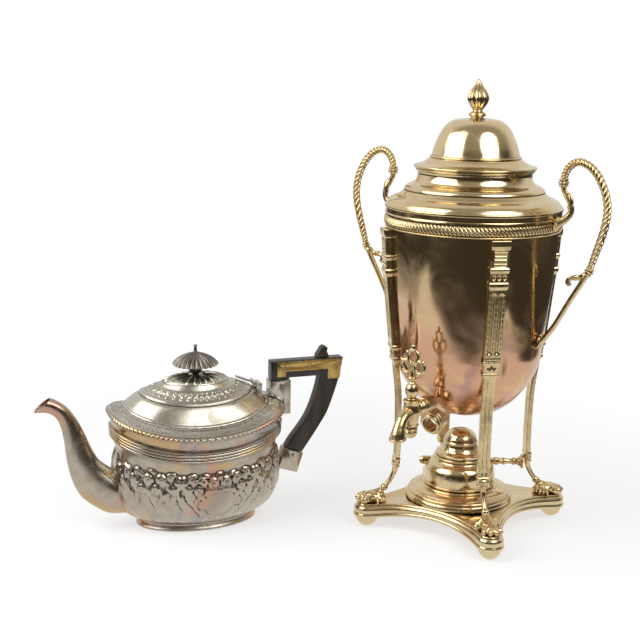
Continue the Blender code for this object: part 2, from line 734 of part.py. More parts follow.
LEAF_WIDTH_SHARES = [0.9, 0.6, 0.25]


def handle_tube(name, shares, thickness_shares, thickness, steps):
    """A tube along shared places, as thick as the shares of a thickness say."""
    route = curve_points([handle_point(x, z) for x, z in shares], steps)
    sizes = curve_points(thickness_shares, steps)
    radii = [size * thickness / 2 for size in sizes]
    return tube(name, route, radii, brass, urn_axis)


def urn_handle(side, turn):
    bracket = handle_tube("urn_handle_" + side, HANDLE_BRACKET_SHARES, BRACKET_WIDTH_SHARES,
                          HANDLE_STRAP, 2)
    arch = handle_tube("handle_arch_" + side, HANDLE_ARCH_SHARES, ARCH_WIDTH_SHARES, HANDLE_TWIST, 2)
    stem = handle_tube("handle_stem_" + side, HANDLE_STEM_SHARES, STEM_WIDTH_SHARES, HANDLE_STRAP, 1)
    curl = handle_tube("handle_curl_" + side, HANDLE_CURL_SHARES, CURL_WIDTH_SHARES, HANDLE_STRAP, 2)
    leaf = handle_tube("handle_leaf_" + side, HANDLE_LEAF_SHARES, LEAF_WIDTH_SHARES, HANDLE_STRAP, 1)
    high = handle_point(*HANDLE_ARCH_SHARES[0])
    low = handle_point(*HANDLE_ARCH_SHARES[-1])
    above = handle_point(*HANDLE_ARCH_SHARES[-2])
    collar_profile = [(0.0, HANDLE_STRAP / 2), (HANDLE_COLLAR / 2, HANDLE_STRAP / 4),
                      (HANDLE_COLLAR / 2, -HANDLE_STRAP / 4), (0.0, -HANDLE_STRAP / 2)]
    upper_collar = turned("handle_collar_high_" + side, collar_profile, brass, urn_axis, high,
                          steps=SMALL_STEPS)
    slope = atan2(above.x - low.x, above.z - low.z)
    lower_collar = turned("handle_collar_low_" + side, collar_profile, brass, urn_axis, low,
                          (0, slope, 0), steps=SMALL_STEPS)
    foot = handle_point(*HANDLE_STEM_SHARES[-1])
    lug = box("handle_lug_" + side, (HANDLE_LUG_WIDTH, HANDLE_LUG_WIDTH, 2 * HANDLE_LUG_WIDTH),
              brass, urn_axis, (bowl_radius(foot.z), 0, foot.z))
    pieces = [bracket, arch, stem, curl, leaf, upper_collar, lower_collar, lug]
    for piece in pieces:
        spin = Matrix.Rotation(turn, 4, "Z")
        piece.matrix_basis = spin @ piece.matrix_basis
    joined(bracket, *pieces[1:])
    return cut(cut(bracket, bowl_seat), border_seat)


border_edge = BOWL_MOUTH_RADIUS + 2 * SEAT_GAP + BORDER_SHARES[0][0] * BORDER_THICKNESS
border_seat_profile = [(BOWL_MOUTH_RADIUS, BOWL_TOP_Z + OVERRUN), (border_edge, BOWL_TOP_Z + OVERRUN)]
border_seat_profile += [
    (BOWL_MOUTH_RADIUS + 2 * SEAT_GAP + x * BORDER_THICKNESS, border_base + z * BORDER_HEIGHT)
    for x, z in BORDER_SHARES[1:5]
]
border_seat_profile += [
    (border_edge, border_base - SEAT_GAP),
    (BOWL_MOUTH_RADIUS, border_base - SEAT_GAP),
]
border_seat = make_cutter(turned("border_seat", border_seat_profile, None, urn_axis, closed=True))
urn_handle("right", 0)
urn_handle("left", pi)

# Tap, in the urn's -Y plane

tap_surface = bowl_radius(TAP_Z)
tap_reach = tap_surface + TAP_REACH
tap_axis = empty("tap_axis", urn_axis, (0, -tap_reach, TAP_Z))
SIDEWAYS = (pi / 2, 0, 0)


def along_tap(name, profile, material):
    """Turn a profile whose heights are distances out from the urn's axis, towards the tap."""
    return turned(name, profile, material, urn_axis, (0, 0, TAP_Z), SIDEWAYS, steps=SMALL_STEPS)


shank_start = tap_surface - BOWL_WALL - TAP_BACK_FLANGE_LENGTH - TAP_SHANK_RADIUS
housing_low = -TAP_HOUSING_HEIGHT / 2 - TAP_TAIL_RADIUS
housing_high = housing_low + TAP_HOUSING_HEIGHT
barrel_start = tap_surface + TAP_ESCUTCHEON_THICKNESS + TAP_BARREL_RADIUS
SHOULDER_RUN_SHARE = 1.5
BARREL_BEAD_SHARE = 1.15
BARREL_END_SHARE = 0.9
barrel_profile = [
    (0.0, tap_reach), (TAP_BARREL_RADIUS, tap_reach),
    (TAP_BARREL_RADIUS, barrel_start + TAP_BARREL_RADIUS * SHOULDER_RUN_SHARE),
    (TAP_BARREL_RADIUS * BARREL_BEAD_SHARE, barrel_start + TAP_BARREL_RADIUS),
    (TAP_BARREL_RADIUS * BARREL_END_SHARE, barrel_start),
    (TAP_SHANK_RADIUS, barrel_start), (TAP_SHANK_RADIUS, shank_start), (0.0, shank_start),
]
tap_barrel = along_tap("tap_barrel", barrel_profile, brass)
HOUSING_SHARES = [(0.0, 1.0), (0.82, 1.0), (0.95, 0.93), (0.95, 0.84), (0.84, 0.78), (0.9, 0.5),
                  (0.8, 0.2), (0.9, 0.12), (0.9, 0.04), (0.78, 0.0), (0.0, 0.0)]
housing_profile = shared(HOUSING_SHARES, TAP_HOUSING_RADIUS, TAP_HOUSING_HEIGHT, housing_low)
housing = turned("tap_housing", housing_profile, brass, tap_axis, steps=SMALL_STEPS)
NOZZLE_STEPS = 3
NOZZLE_SHARES = [(0.0, 0.0), (0.45, 0.02), (0.8, -0.2), (0.95, -0.58), (1.0, -1.0)]
nozzle_route = curve_points(
    [Vector((0, -tap_reach - x * TAP_NOZZLE_REACH, TAP_Z + z * TAP_NOZZLE_DROP))
     for x, z in NOZZLE_SHARES], NOZZLE_STEPS)
NOZZLE_RADIUS_SHARES = [1.0, 1.0, 0.98, 1.0, 1.0]
nozzle_radii = [share * TAP_NOZZLE_RADIUS
                for share in curve_points(NOZZLE_RADIUS_SHARES, NOZZLE_STEPS)]
nozzle_radii[-2] = (TAP_NOZZLE_RADIUS + TAP_NOZZLE_MOUTH_RADIUS) / 2
nozzle_radii[-1] = TAP_NOZZLE_MOUTH_RADIUS
nozzle = tube("tap_nozzle", nozzle_route, nozzle_radii, brass, urn_axis, resolution=2)
joined(tap_barrel, housing, nozzle)
nozzle_bore_route = nozzle_route + [nozzle_route[-1] + Vector((0, 0, -OVERRUN))]
nozzle_bore_route = nozzle_bore_route[2:]
nozzle_bore = tube("nozzle_bore", nozzle_bore_route, [TAP_BORE_RADIUS] * len(nozzle_bore_route), None,
                   urn_axis)
shank_bore = cylinder("shank_bore", TAP_BORE_RADIUS, tap_reach, None, urn_axis,
                      (0, -tap_reach / 2, TAP_Z), SIDEWAYS)
plug_hole = cylinder(
    "plug_hole", clear_radius(TAP_PLUG_BASE_RADIUS), TAP_HOUSING_HEIGHT + 2 * OVERRUN, None,
    tap_axis, (0, 0, (housing_low + housing_high) / 2),
    end_radius=clear_radius(TAP_PLUG_TOP_RADIUS),
)
for tool in (nozzle_bore, shank_bore, plug_hole):
    cut(tap_barrel, make_cutter(tool))
shank_hole = cylinder("shank_hole", TAP_SHANK_RADIUS + SEAT_GAP, tap_reach, None, urn_axis,
                      (0, -tap_reach / 2, TAP_Z), SIDEWAYS)
make_cutter(shank_hole)
cut(bowl, shank_hole)

plug_slope = (TAP_PLUG_TOP_RADIUS - TAP_PLUG_BASE_RADIUS) / (TAP_HOUSING_HEIGHT + 2 * OVERRUN)


def plug_radius(height):
    return TAP_PLUG_BASE_RADIUS + (height - housing_low + OVERRUN) * plug_slope


nut_top = housing_low - 2 * SEAT_GAP - TAP_WASHER_THICKNESS
TAIL_SHARE = 0.6
tail_end = nut_top - TAP_NUT_HEIGHT * TAIL_SHARE
plug_profile = [
    (0.0, housing_high + TAP_SQUARE_HEIGHT), (TAP_SQUARE_RADIUS, housing_high + TAP_SQUARE_HEIGHT),
    (TAP_SQUARE_RADIUS, housing_high), (plug_radius(housing_high), housing_high),
    (plug_radius(housing_low), housing_low), (TAP_TAIL_RADIUS, housing_low),
    (TAP_TAIL_RADIUS, tail_end), (0.0, tail_end),
]
tap_plug = turned("tap_plug", plug_profile, dark_brass, tap_axis, steps=SMALL_STEPS)
plug_bore = cylinder("plug_bore", TAP_BORE_RADIUS, 4 * TAP_PLUG_TOP_RADIUS, None, tap_axis, (0, 0, 0),
                     (0, pi / 2, 0))
cut(tap_plug, make_cutter(plug_bore))
washer_profile = [
    (TAP_TAIL_RADIUS + SEAT_GAP, housing_low - SEAT_GAP),
    (TAP_NUT_RADIUS, housing_low - SEAT_GAP),
    (TAP_NUT_RADIUS, housing_low - SEAT_GAP - TAP_WASHER_THICKNESS),
    (TAP_TAIL_RADIUS + SEAT_GAP, housing_low - SEAT_GAP - TAP_WASHER_THICKNESS),
]
turned("tap_washer", washer_profile, dark_brass, tap_axis, steps=SMALL_STEPS, closed=True)
TAP_NUT_SHARES = [(0.9, 1.0), (1.0, 0.92), (1.0, 0.75), (0.82, 0.66), (0.8, 0.4), (0.5, 0.12), (0.0, 0.0)]
nut_profile = [(0.0, tail_end - SEAT_GAP), (TAP_TAIL_RADIUS + SEAT_GAP, tail_end - SEAT_GAP),
               (TAP_TAIL_RADIUS + SEAT_GAP, nut_top)]
nut_profile += shared(TAP_NUT_SHARES, TAP_NUT_RADIUS, TAP_NUT_HEIGHT + TAP_WASHER_THICKNESS,
                      nut_top - TAP_NUT_HEIGHT - TAP_WASHER_THICKNESS)
turned("tap_nut", nut_profile, brass, tap_axis, steps=SMALL_STEPS)

key_base = housing_high + SEAT_GAP
KEY_STEM_SHARES = [(0.0, 0.58), (0.22, 0.58), (0.3, 0.44), (0.32, 0.41), (0.45, 0.385), (0.32, 0.36),
                   (0.34, 0.26), (0.62, 0.235), (0.92, 0.19), (1.0, 0.125), (0.88, 0.06), (0.6, 0.02),
                   (0.6, 0.0)]
socket_top = housing_high + TAP_SQUARE_HEIGHT + SEAT_GAP
key_profile = shared(KEY_STEM_SHARES, TAP_KEY_KNOB_RADIUS, TAP_KEY_HEIGHT, key_base)
key_profile += [(TAP_SQUARE_RADIUS + SEAT_GAP, key_base), (TAP_SQUARE_RADIUS + SEAT_GAP, socket_top),
                (0.0, socket_top)]
tap_key = turned("tap_key", key_profile, brass, tap_axis, steps=SMALL_STEPS)
LOBE_MEET_SHARE = 0.8
LOBE_BASE_SHARE = 0.44
lobe_out = TAP_KEY_LOBE_RADIUS + TAP_KEY_WIRE_RADIUS * LOBE_MEET_SHARE
lobe_base = key_base + LOBE_BASE_SHARE * TAP_KEY_HEIGHT
WIRE_STEPS = 6
KEY_LOBES = (("left", -lobe_out, TAP_KEY_LOBE_RADIUS), ("right", lobe_out, TAP_KEY_LOBE_RADIUS),
             ("top", 0.0, TAP_KEY_LOBE_RADIUS * 3))
for name, across, up in KEY_LOBES:
    ring_profile = []
    for step in range(WIRE_STEPS):
        angle = pi / 2 - 2 * pi * step / WIRE_STEPS
        ring_profile.append((TAP_KEY_LOBE_RADIUS + TAP_KEY_WIRE_RADIUS * cos(angle),
                             TAP_KEY_WIRE_RADIUS * sin(angle)))
    lobe = turned("key_lobe_" + name, ring_profile, brass, tap_axis,
                  (across, 0, lobe_base + up), SIDEWAYS, steps=LOBE_STEPS, closed=True)
    joined(tap_key, lobe)
KEY_TIP_SHARES = [(0.0, 1.1), (0.77, 0.77), (1.1, 0.0), (0.77, -0.77), (0.0, -1.1)]
key_tip_z = lobe_base + 4 * TAP_KEY_LOBE_RADIUS + TAP_KEY_WIRE_RADIUS
key_tip = turned("key_tip", shared(KEY_TIP_SHARES, TAP_KEY_WIRE_RADIUS, TAP_KEY_WIRE_RADIUS), brass,
                 tap_axis, (0, 0, key_tip_z), steps=SMALL_STEPS)
joined(tap_key, key_tip)

low_z = TAP_Z - TAP_ESCUTCHEON_RADIUS
bowl_tilt = atan2(bowl_radius(TAP_Z + TAP_ESCUTCHEON_RADIUS) - bowl_radius(low_z),
                  2 * TAP_ESCUTCHEON_RADIUS)
ESCUTCHEON_SHARES = [(0.0, 1.0), (0.62, 1.0), (0.7, 0.86), (0.72, 0.6), (0.95, 0.5), (1.0, 0.35),
                     (1.0, -0.8), (0.0, -0.8)]
escutcheon = turned(
    "tap_escutcheon", shared(ESCUTCHEON_SHARES, TAP_ESCUTCHEON_RADIUS, TAP_ESCUTCHEON_THICKNESS),
    brass, urn_axis, (0, -tap_surface, TAP_Z), (pi / 2 + bowl_tilt, 0, 0),
)
cut(escutcheon, bowl_seat)
cut(escutcheon, shank_hole)
flange_out = tap_surface + TAP_BACK_FLANGE_RADIUS
flange_in = tap_surface - TAP_BACK_FLANGE_LENGTH - TAP_BACK_FLANGE_RADIUS
back_flange = along_tap("tap_back_flange", [
    (0.0, flange_out), (TAP_BACK_FLANGE_RADIUS, flange_out), (TAP_BACK_FLANGE_RADIUS, flange_in),
    (0.0, flange_in),
], dark_brass)
cut(back_flange, bowl_inside, "INTERSECT")
cut(back_flange, shank_hole)

# Burner, on its own axis, with the spindle along X

STAND_FLAT_SHARE = 0.68
STAND_SHARES = [(0.7, 0.985), (0.75, 0.93), (0.79, 0.76), (0.9, 0.62), (0.965, 0.4), (1.0, 0.06),
                (1.0, 0.0)]
stand_profile = [(BURNER_BOLT_RADIUS + SEAT_GAP, STAND_HEIGHT),
                 (STAND_FLAT_SHARE * STAND_RADIUS, STAND_HEIGHT)]
stand_profile += shared(STAND_SHARES, STAND_RADIUS, STAND_HEIGHT)
turned("burner_stand", stand_profile, brass, burner_axis, wall=STAND_WALL)
reservoir_base = STAND_HEIGHT + SEAT_GAP
reservoir_top = reservoir_base + RESERVOIR_HEIGHT
RESERVOIR_SHARES = [
    (0.71, 0.99), (0.745, 0.955), (0.73, 0.89), (0.85, 0.8), (0.91, 0.63), (0.945, 0.4),
    (0.96, 0.15), (1.0, 0.02),
]
reservoir_profile = [(RESERVOIR_MOUTH_RADIUS, reservoir_top)]
reservoir_profile += shared(RESERVOIR_SHARES, RESERVOIR_RADIUS, RESERVOIR_HEIGHT, reservoir_base)
RESERVOIR_FLOOR_SHARE = 0.98
reservoir_profile += [(RESERVOIR_RADIUS * RESERVOIR_FLOOR_SHARE, reservoir_base),
                      (BURNER_BOLT_RADIUS + SEAT_GAP, reservoir_base)]
reservoir = turned("spirit_reservoir", reservoir_profile, brass, burner_axis, wall=RESERVOIR_WALL)
reservoir_seat_profile = [(0.0, reservoir_top + OVERRUN)]
reservoir_seat_profile += [(radius + SEAT_GAP, height) for radius, height in reservoir_profile[2:-2]]
reservoir_seat_profile.append((0.0, reservoir_base))
reservoir_seat = make_cutter(turned("reservoir_seat", reservoir_seat_profile, None, burner_axis))

spindle_z = reservoir_top - SPINDLE_DROP
spindle_y = WICK_RADIUS + PINION_GAP + PINION_RADIUS
spindle_axis = empty("spindle_axis", burner_axis, (0, spindle_y, spindle_z), (0, pi / 2, 0))
spindle_start = -END_CAP_REACH + END_CAP_WALL + SEAT_GAP
stem_start = GLAND_REACH + SEAT_GAP
stem_length = leg_top_radius - SPINDLE_KNOB_INSET - stem_start
KNOB_SHARES = [(0.0, 0.985), (0.25, 0.985), (0.3, 1.0), (0.95, 1.0), (1.0, 0.97), (0.62, 0.93),
               (0.42, 0.85), (0.36, 0.7), (0.35, 0.4), (0.42, 0.24), (0.5, 0.14), (0.42, 0.05)]
spindle_profile = shared(KNOB_SHARES, SPINDLE_KNOB_RADIUS, stem_length, stem_start)
spindle_profile += [
    (SPINDLE_STEM_RADIUS, stem_start), (SPINDLE_RADIUS, stem_start),
    (SPINDLE_RADIUS, PINION_LENGTH / 2), (PINION_RADIUS, PINION_LENGTH / 2),
    (PINION_RADIUS, -PINION_LENGTH / 2), (SPINDLE_RADIUS, -PINION_LENGTH / 2),
    (SPINDLE_RADIUS, spindle_start), (0.0, spindle_start),
]
turned("wick_spindle", spindle_profile, brass, spindle_axis, steps=SMALL_STEPS)
spindle_hole_length = stem_start - spindle_start + OVERRUN
spindle_hole = make_cutter(
    cylinder("spindle_hole", clear_radius(SPINDLE_RADIUS), spindle_hole_length, None, spindle_axis,
             (0, 0, spindle_start + spindle_hole_length / 2))
)
cut(reservoir, spindle_hole)
GLAND_SHARES = [(0.0, 1.0), (1.0, 1.0), (1.0, 0.9), (0.86, 0.88), (0.86, 0.61), (0.0, 0.61)]
gland_profile = shared(GLAND_SHARES, GLAND_RADIUS, GLAND_REACH)
gland = turned("spindle_gland", gland_profile, brass, spindle_axis, steps=SMALL_STEPS)
cut(cut(gland, reservoir_seat), spindle_hole)
END_CAP_SHARES = [(0.0, -0.61), (1.0, -0.61), (1.0, -0.93), (0.6, -1.0), (0.0, -1.0)]
end_cap_profile = shared(END_CAP_SHARES, END_CAP_RADIUS, END_CAP_REACH)
end_cap = turned("spindle_end_cap", end_cap_profile, brass, spindle_axis, steps=SMALL_STEPS)
cut(cut(end_cap, reservoir_seat), spindle_hole)

tube_inner = WICK_RADIUS + WICK_TUBE_PLAY
tube_outer = tube_inner + WICK_TUBE_WALL
tube_top = reservoir_top + WICK_TUBE_PROUD
tube_profile = [(tube_inner, tube_top), (tube_outer, tube_top),
                (tube_outer, tube_top - WICK_TUBE_LENGTH), (tube_inner, tube_top - WICK_TUBE_LENGTH)]
wick_tube = turned("wick_tube", tube_profile, dark_brass, burner_axis, steps=SMALL_STEPS, closed=True)
window_size = (PINION_LENGTH + 4 * SEAT_GAP, 2 * spindle_y, 2 * PINION_RADIUS + 4 * SEAT_GAP)
window = box("tube_window", window_size, None, burner_axis, (0, spindle_y + WICK_RADIUS / 2, spindle_z))
cut(wick_tube, make_cutter(window))
wick_top = tube_top + WICK_PROUD
WICK_END_SHARES = [(0.0, 0.0), (0.75, -0.1), (1.0, -0.4)]
wick_profile = shared(WICK_END_SHARES, WICK_RADIUS, WICK_RADIUS, wick_top)
wick_profile += [(WICK_RADIUS, wick_top - WICK_LENGTH), (0.0, wick_top - WICK_LENGTH)]
turned("wick", wick_profile, wick_cotton, burner_axis, steps=SMALL_STEPS)
collar_base = reservoir_top + SEAT_GAP
collar_profile = [
    (tube_outer + SEAT_GAP, collar_base + COLLAR_FLANGE_HEIGHT),
    (COLLAR_FLANGE_RADIUS, collar_base + COLLAR_FLANGE_HEIGHT),
    (COLLAR_FLANGE_RADIUS, collar_base), (RESERVOIR_MOUTH_RADIUS - SEAT_GAP, collar_base),
    (RESERVOIR_MOUTH_RADIUS - SEAT_GAP, collar_base - COLLAR_NECK_LENGTH),
    (tube_outer + SEAT_GAP, collar_base - COLLAR_NECK_LENGTH),
]
turned("burner_collar", collar_profile, dark_brass, burner_axis, steps=SMALL_STEPS, closed=True)
SNUFFER_SHARES = [
    (0.0, 1.0), (0.22, 0.985), (0.42, 0.93), (0.6, 0.82), (0.72, 0.66), (0.78, 0.48), (0.82, 0.3),
    (0.88, 0.15), (0.98, 0.06), (1.0, 0.0),
]
snuffer_profile = shared(SNUFFER_SHARES, SNUFFER_RADIUS, SNUFFER_HEIGHT, reservoir_top + SEAT_GAP)
turned("snuffer_cap", snuffer_profile, brass, burner_axis, wall=SNUFFER_WALL)
bolt_low = -PLATE_WALL - 2 * SEAT_GAP
bolt_profile = [
    (0.0, bolt_low + BURNER_BOLT_LENGTH), (BURNER_BOLT_RADIUS, bolt_low + BURNER_BOLT_LENGTH),
    (BURNER_BOLT_RADIUS, bolt_low), (BURNER_BOLT_HEAD_RADIUS, bolt_low),
    (BURNER_BOLT_HEAD_RADIUS, bolt_low - BURNER_BOLT_HEAD_HEIGHT),
    (0.0, bolt_low - BURNER_BOLT_HEAD_HEIGHT),
]
turned("burner_bolt", bolt_profile, dark_brass, burner_axis, steps=SMALL_STEPS)
burner_nut_base = reservoir_base + RESERVOIR_WALL + SEAT_GAP
burner_nut_profile = [
    (BURNER_BOLT_RADIUS + SEAT_GAP, burner_nut_base + BURNER_NUT_HEIGHT),
    (BURNER_BOLT_HEAD_RADIUS, burner_nut_base + BURNER_NUT_HEIGHT),
    (BURNER_BOLT_HEAD_RADIUS, burner_nut_base), (BURNER_BOLT_RADIUS + SEAT_GAP, burner_nut_base),
]
turned("burner_nut", burner_nut_profile, dark_brass, burner_axis, steps=SMALL_STEPS, closed=True)

# Teapot body. A ring is the share of the length, of the width, the oval's power, the share of the
# rim's height and the share of the end lift.


def oval(length, width, power, height, lift, steps=OVAL_STEPS):
    """Points round an oval between an ellipse and a rectangle, lifted towards its two ends."""
    points = []
    for step in range(steps):
        angle = 2 * pi * (step + 0.5) / steps
        x = abs(cos(angle)) ** (2 / power) * (1 if cos(angle) > 0 else -1)
        y = abs(sin(angle)) ** (2 / power) * (1 if sin(angle) > 0 else -1)
        points.append(Vector((length * x, width * y, height + lift * x * x)))
    return points


POT_RING_SHARES = [
    (0.66, 0.575, 2.0, 0.065, 0.0), (0.74, 0.66, 2.0, 0.095, 0.0), (0.86, 0.775, 2.1, 0.18, 0.0),
    (0.93, 0.85, 2.2, 0.29, 0.13), (0.955, 0.882, 2.25, 0.42, 0.32), (0.94, 0.874, 2.3, 0.55, 0.57),
    (0.91, 0.85, 2.4, 0.645, 0.8), (0.935, 0.872, 2.42, 0.7, 0.93), (0.97, 0.913, 2.48, 0.735, 1.02),
    (0.972, 0.914, 2.5, 0.84, 1.05), (0.948, 0.912, 2.6, 0.89, 1.04), (0.968, 0.962, 2.72, 0.975, 1.0),
]


def pot_ring(shares, grow=0.0):
    length, width, power, height, lift = shares
    return oval(length * POT_LENGTH + grow, width * POT_WIDTH + grow, power, height * POT_RIM_Z,
                lift * POT_END_LIFT)


foot_top = POT_RING_SHARES[0][3] * POT_RIM_Z
body_rings = [pot_ring(shares) for shares in POT_RING_SHARES]
teapot_body = loft("teapot_body", body_rings, ("first",), silver, teapot_axis, wall=POT_WALL)


def oval_band(name, sections, material):
    """A closed ring whose section runs through the given ovals."""
    obj = loft(name, sections, ("round",), material, teapot_axis)
    face_out(obj.data)
    return obj


FOOT_EDGE_SHARE = 0.25
foot_sections = []
for inset, height in (
    (0, 0), (0, FOOT_RING_HEIGHT * FOOT_EDGE_SHARE), (FOOT_RING_FLARE, foot_top - SEAT_GAP),
    (FOOT_RING_FLARE + FOOT_RING_THICKNESS, foot_top - SEAT_GAP), (FOOT_RING_THICKNESS, 0),
):
    foot_sections.append(oval(FOOT_RING_LENGTH - inset, FOOT_RING_WIDTH - inset, 2, height, 0))
oval_band("teapot_foot_ring", foot_sections, silver)

SHOULDER_RING_SHARES = [
    (0.975, 0.965, 2.75, 0.06, 1.0), (0.9, 0.87, 2.65, 0.15, 0.95), (0.81, 0.77, 2.5, 0.3, 0.86),
    (0.73, 0.69, 2.4, 0.55, 0.72), (0.668, 0.63, 2.32, 0.85, 0.56), (0.65, 0.61, 2.28, 1.0, 0.48),
    (0.6, 0.55, 2.28, 0.93, 0.46),
]


def shoulder_ring(shares, grow=0.0):
    length, width, power, height, lift = shares
    return oval(length * POT_LENGTH + grow, width * POT_WIDTH + grow, power,
                POT_RIM_Z + SHOULDER_WALL + height * SHOULDER_RISE, lift * POT_END_LIFT)


shoulder_rings = [shoulder_ring(shares) for shares in SHOULDER_RING_SHARES]
teapot_shoulder = loft("teapot_shoulder", shoulder_rings, (), silver, teapot_axis, wall=SHOULDER_WALL)

rim_sections = []
RIM_WIRE_STEPS = 6
RIM_POWER = 2.75
rim_length = POT_RING_SHARES[-1][0] * POT_LENGTH + SEAT_GAP + POT_RIM_WIRE
rim_width = POT_RING_SHARES[-1][1] * POT_WIDTH + SEAT_GAP + POT_RIM_WIRE
for step in range(RIM_WIRE_STEPS):
    angle = 2 * pi * step / RIM_WIRE_STEPS
    reach = POT_RIM_WIRE * cos(angle)
    rim_sections.append(oval(rim_length + reach, rim_width + reach, RIM_POWER,
                             POT_RIM_Z + POT_RIM_WIRE * (sin(angle) - 1), POT_END_LIFT))
oval_band("teapot_rim", rim_sections, silver)


def teapot_solid(name, grow):
    """A cutter of the teapot's outer form below the lid, grown outwards by a gap."""
    rings = [pot_ring(shares, grow) for shares in POT_RING_SHARES[:-1]]
    rim_low = POT_RIM_Z - 2 * POT_RIM_WIRE - grow
    rim_high = POT_RIM_Z + grow
    widest = (rim_length + POT_RIM_WIRE + grow, rim_width + POT_RIM_WIRE + grow)
    rings.append(oval(widest[0] - POT_RIM_WIRE, widest[1] - POT_RIM_WIRE, RIM_POWER, rim_low,
                      POT_END_LIFT))
    rings.append(oval(*widest, RIM_POWER, rim_low, POT_END_LIFT))
    rings.append(oval(*widest, RIM_POWER, rim_high, POT_END_LIFT))
    for shares in SHOULDER_RING_SHARES[:-1]:
        raised = (*shares[:3], shares[3] + grow / SHOULDER_RISE * 2, shares[4])
        rings.append(shoulder_ring(raised, grow))
    obj = loft(name, rings, ("first", "last"), None, teapot_axis)
    face_out(obj.data)
    return make_cutter(obj)


teapot_seat = teapot_solid("teapot_seat", SEAT_GAP)

# Spout: each station is the lower and the upper edge of the tube, as shares of the spout's
# reach and height, and the share of its width.

SPOUT_STATION_SHARES = [
    (0.44, 0.1, 0.44, 0.38, 1.0), (0.57, 0.12, 0.535, 0.43, 0.94), (0.68, 0.2, 0.61, 0.5, 0.85),
    (0.74, 0.28, 0.647, 0.567, 0.77), (0.784, 0.397, 0.675, 0.634, 0.68),
    (0.808, 0.537, 0.703, 0.714, 0.56), (0.822, 0.685, 0.737, 0.8, 0.46),
    (0.84, 0.797, 0.774, 0.876, 0.39), (0.874, 0.869, 0.818, 0.937, 0.35),
    (0.927, 0.903, 0.87, 0.98, 0.34), (1.0, 0.913, 0.905, 1.0, 0.38),
]
SPOUT_STEPS = 12


def spout_rings(grow=0.0):
    rings = []
    for low_x, low_z, high_x, high_z, width in SPOUT_STATION_SHARES:
        low = Vector((-low_x * SPOUT_REACH, 0, low_z * SPOUT_HEIGHT))
        high = Vector((-high_x * SPOUT_REACH, 0, high_z * SPOUT_HEIGHT))
        middle = (low + high) / 2
        half = (high - low) / 2
        half = half * (1 + grow / half.length)
        side = Vector((0, width * SPOUT_WIDTH + grow, 0))
        rings.append([middle - half * sin(2 * pi * i / SPOUT_STEPS) + side * cos(2 * pi * i / SPOUT_STEPS)
                      for i in range(SPOUT_STEPS)])
    return rings


spout = loft("teapot_spout", spout_rings(), (), silver, teapot_axis, wall=SPOUT_WALL)
cut(spout, teapot_seat)
STRAINER_STEPS = 8
for row, count in ((-1, 2), (0, 3), (1, 2)):
    for place in range(count):
        across = (place - (count - 1) / 2) * STRAINER_PITCH
        hole = cylinder("strainer_hole", STRAINER_HOLE_RADIUS, POT_LENGTH, None, teapot_axis,
                        (-POT_LENGTH, across, STRAINER_Z + row * STRAINER_PITCH), (0, pi / 2, 0),
                        steps=STRAINER_STEPS)
        cut(teapot_body, make_cutter(hole))

# Teapot lid with its hinge and finial

POT_LID_SHARES = [
    (1.0, 1.0, 2.28, 0.0, 1.0), (0.995, 0.995, 2.28, 0.03, 1.0), (0.88, 0.87, 2.2, 0.22, 0.75),
    (0.72, 0.73, 2.1, 0.47, 0.4), (0.63, 0.66, 2.05, 0.6, 0.13), (0.59, 0.62, 2.0, 0.63, 0.0),
    (0.53, 0.56, 2.0, 0.78, 0.0),
    (0.4, 0.43, 2.0, 0.92, 0.0), (0.2, 0.23, 2.0, 0.99, 0.0),
]
pot_lid_base = POT_RIM_Z + SHOULDER_WALL + SHOULDER_RISE + SEAT_GAP
pot_lid_length = SHOULDER_RING_SHARES[-2][0] * POT_LENGTH - POT_LID_INSET
pot_lid_width = SHOULDER_RING_SHARES[-2][1] * POT_WIDTH - POT_LID_INSET


def pot_lid_rings(grow):
    """Rings of the lid from its edge up, with the whole lid grown by a gap."""
    return [oval(x * pot_lid_length + grow, y * pot_lid_width + grow, power,
                 pot_lid_base + z * POT_LID_HEIGHT + grow, lift * POT_LID_END_LIFT)
            for x, y, power, z, lift in POT_LID_SHARES]


lid_rings = pot_lid_rings(0)
stud_hole = POT_STUD_RADIUS + SEAT_GAP
pot_lid_top = pot_lid_base + POT_LID_HEIGHT
lid_rings.append(oval(stud_hole, stud_hole, 2, pot_lid_top, 0))
teapot_lid = loft("teapot_lid", lid_rings, (), silver, teapot_axis, wall=POT_LID_WALL)
ball_base = pot_lid_top + SEAT_GAP
BALL_SHARES = [(0.5, 1.0), (0.8, 0.8), (1.0, 0.4), (0.85, 0.0)]
ball_profile = [(stud_hole, ball_base + POT_BALL_HEIGHT)]
ball_profile += shared(BALL_SHARES, POT_BALL_RADIUS, POT_BALL_HEIGHT, ball_base)
ball_profile.append((stud_hole, ball_base))
turned("teapot_finial_ball", ball_profile, ebony, teapot_axis, steps=SMALL_STEPS, closed=True)
umbrella_base = ball_base + POT_BALL_HEIGHT + SEAT_GAP
UMBRELLA_STEPS = 18
UMBRELLA_SHARES = [
    (0.0, 1.0), (0.07, 0.99), (0.1, 0.9), (0.06, 0.75), (0.13, 0.63), (0.4, 0.57), (0.7, 0.44),
    (0.9, 0.27), (1.0, 0.08), (0.97, 0.04), (0.6, 0.2), (0.2, 0.26), (0.16, 0.0),
]
stud_end = pot_lid_top - POT_LID_WALL - POT_STUD_LENGTH
umbrella_profile = shared(UMBRELLA_SHARES, POT_FINIAL_RADIUS, POT_FINIAL_HEIGHT - POT_BALL_HEIGHT,
                          umbrella_base)
umbrella_profile += [(POT_STUD_RADIUS, umbrella_base), (POT_STUD_RADIUS, stud_end), (0.0, stud_end)]
turned("teapot_finial", umbrella_profile, dark_silver, teapot_axis, steps=UMBRELLA_STEPS)
pot_nut_top = pot_lid_top - POT_LID_WALL - SEAT_GAP * 2
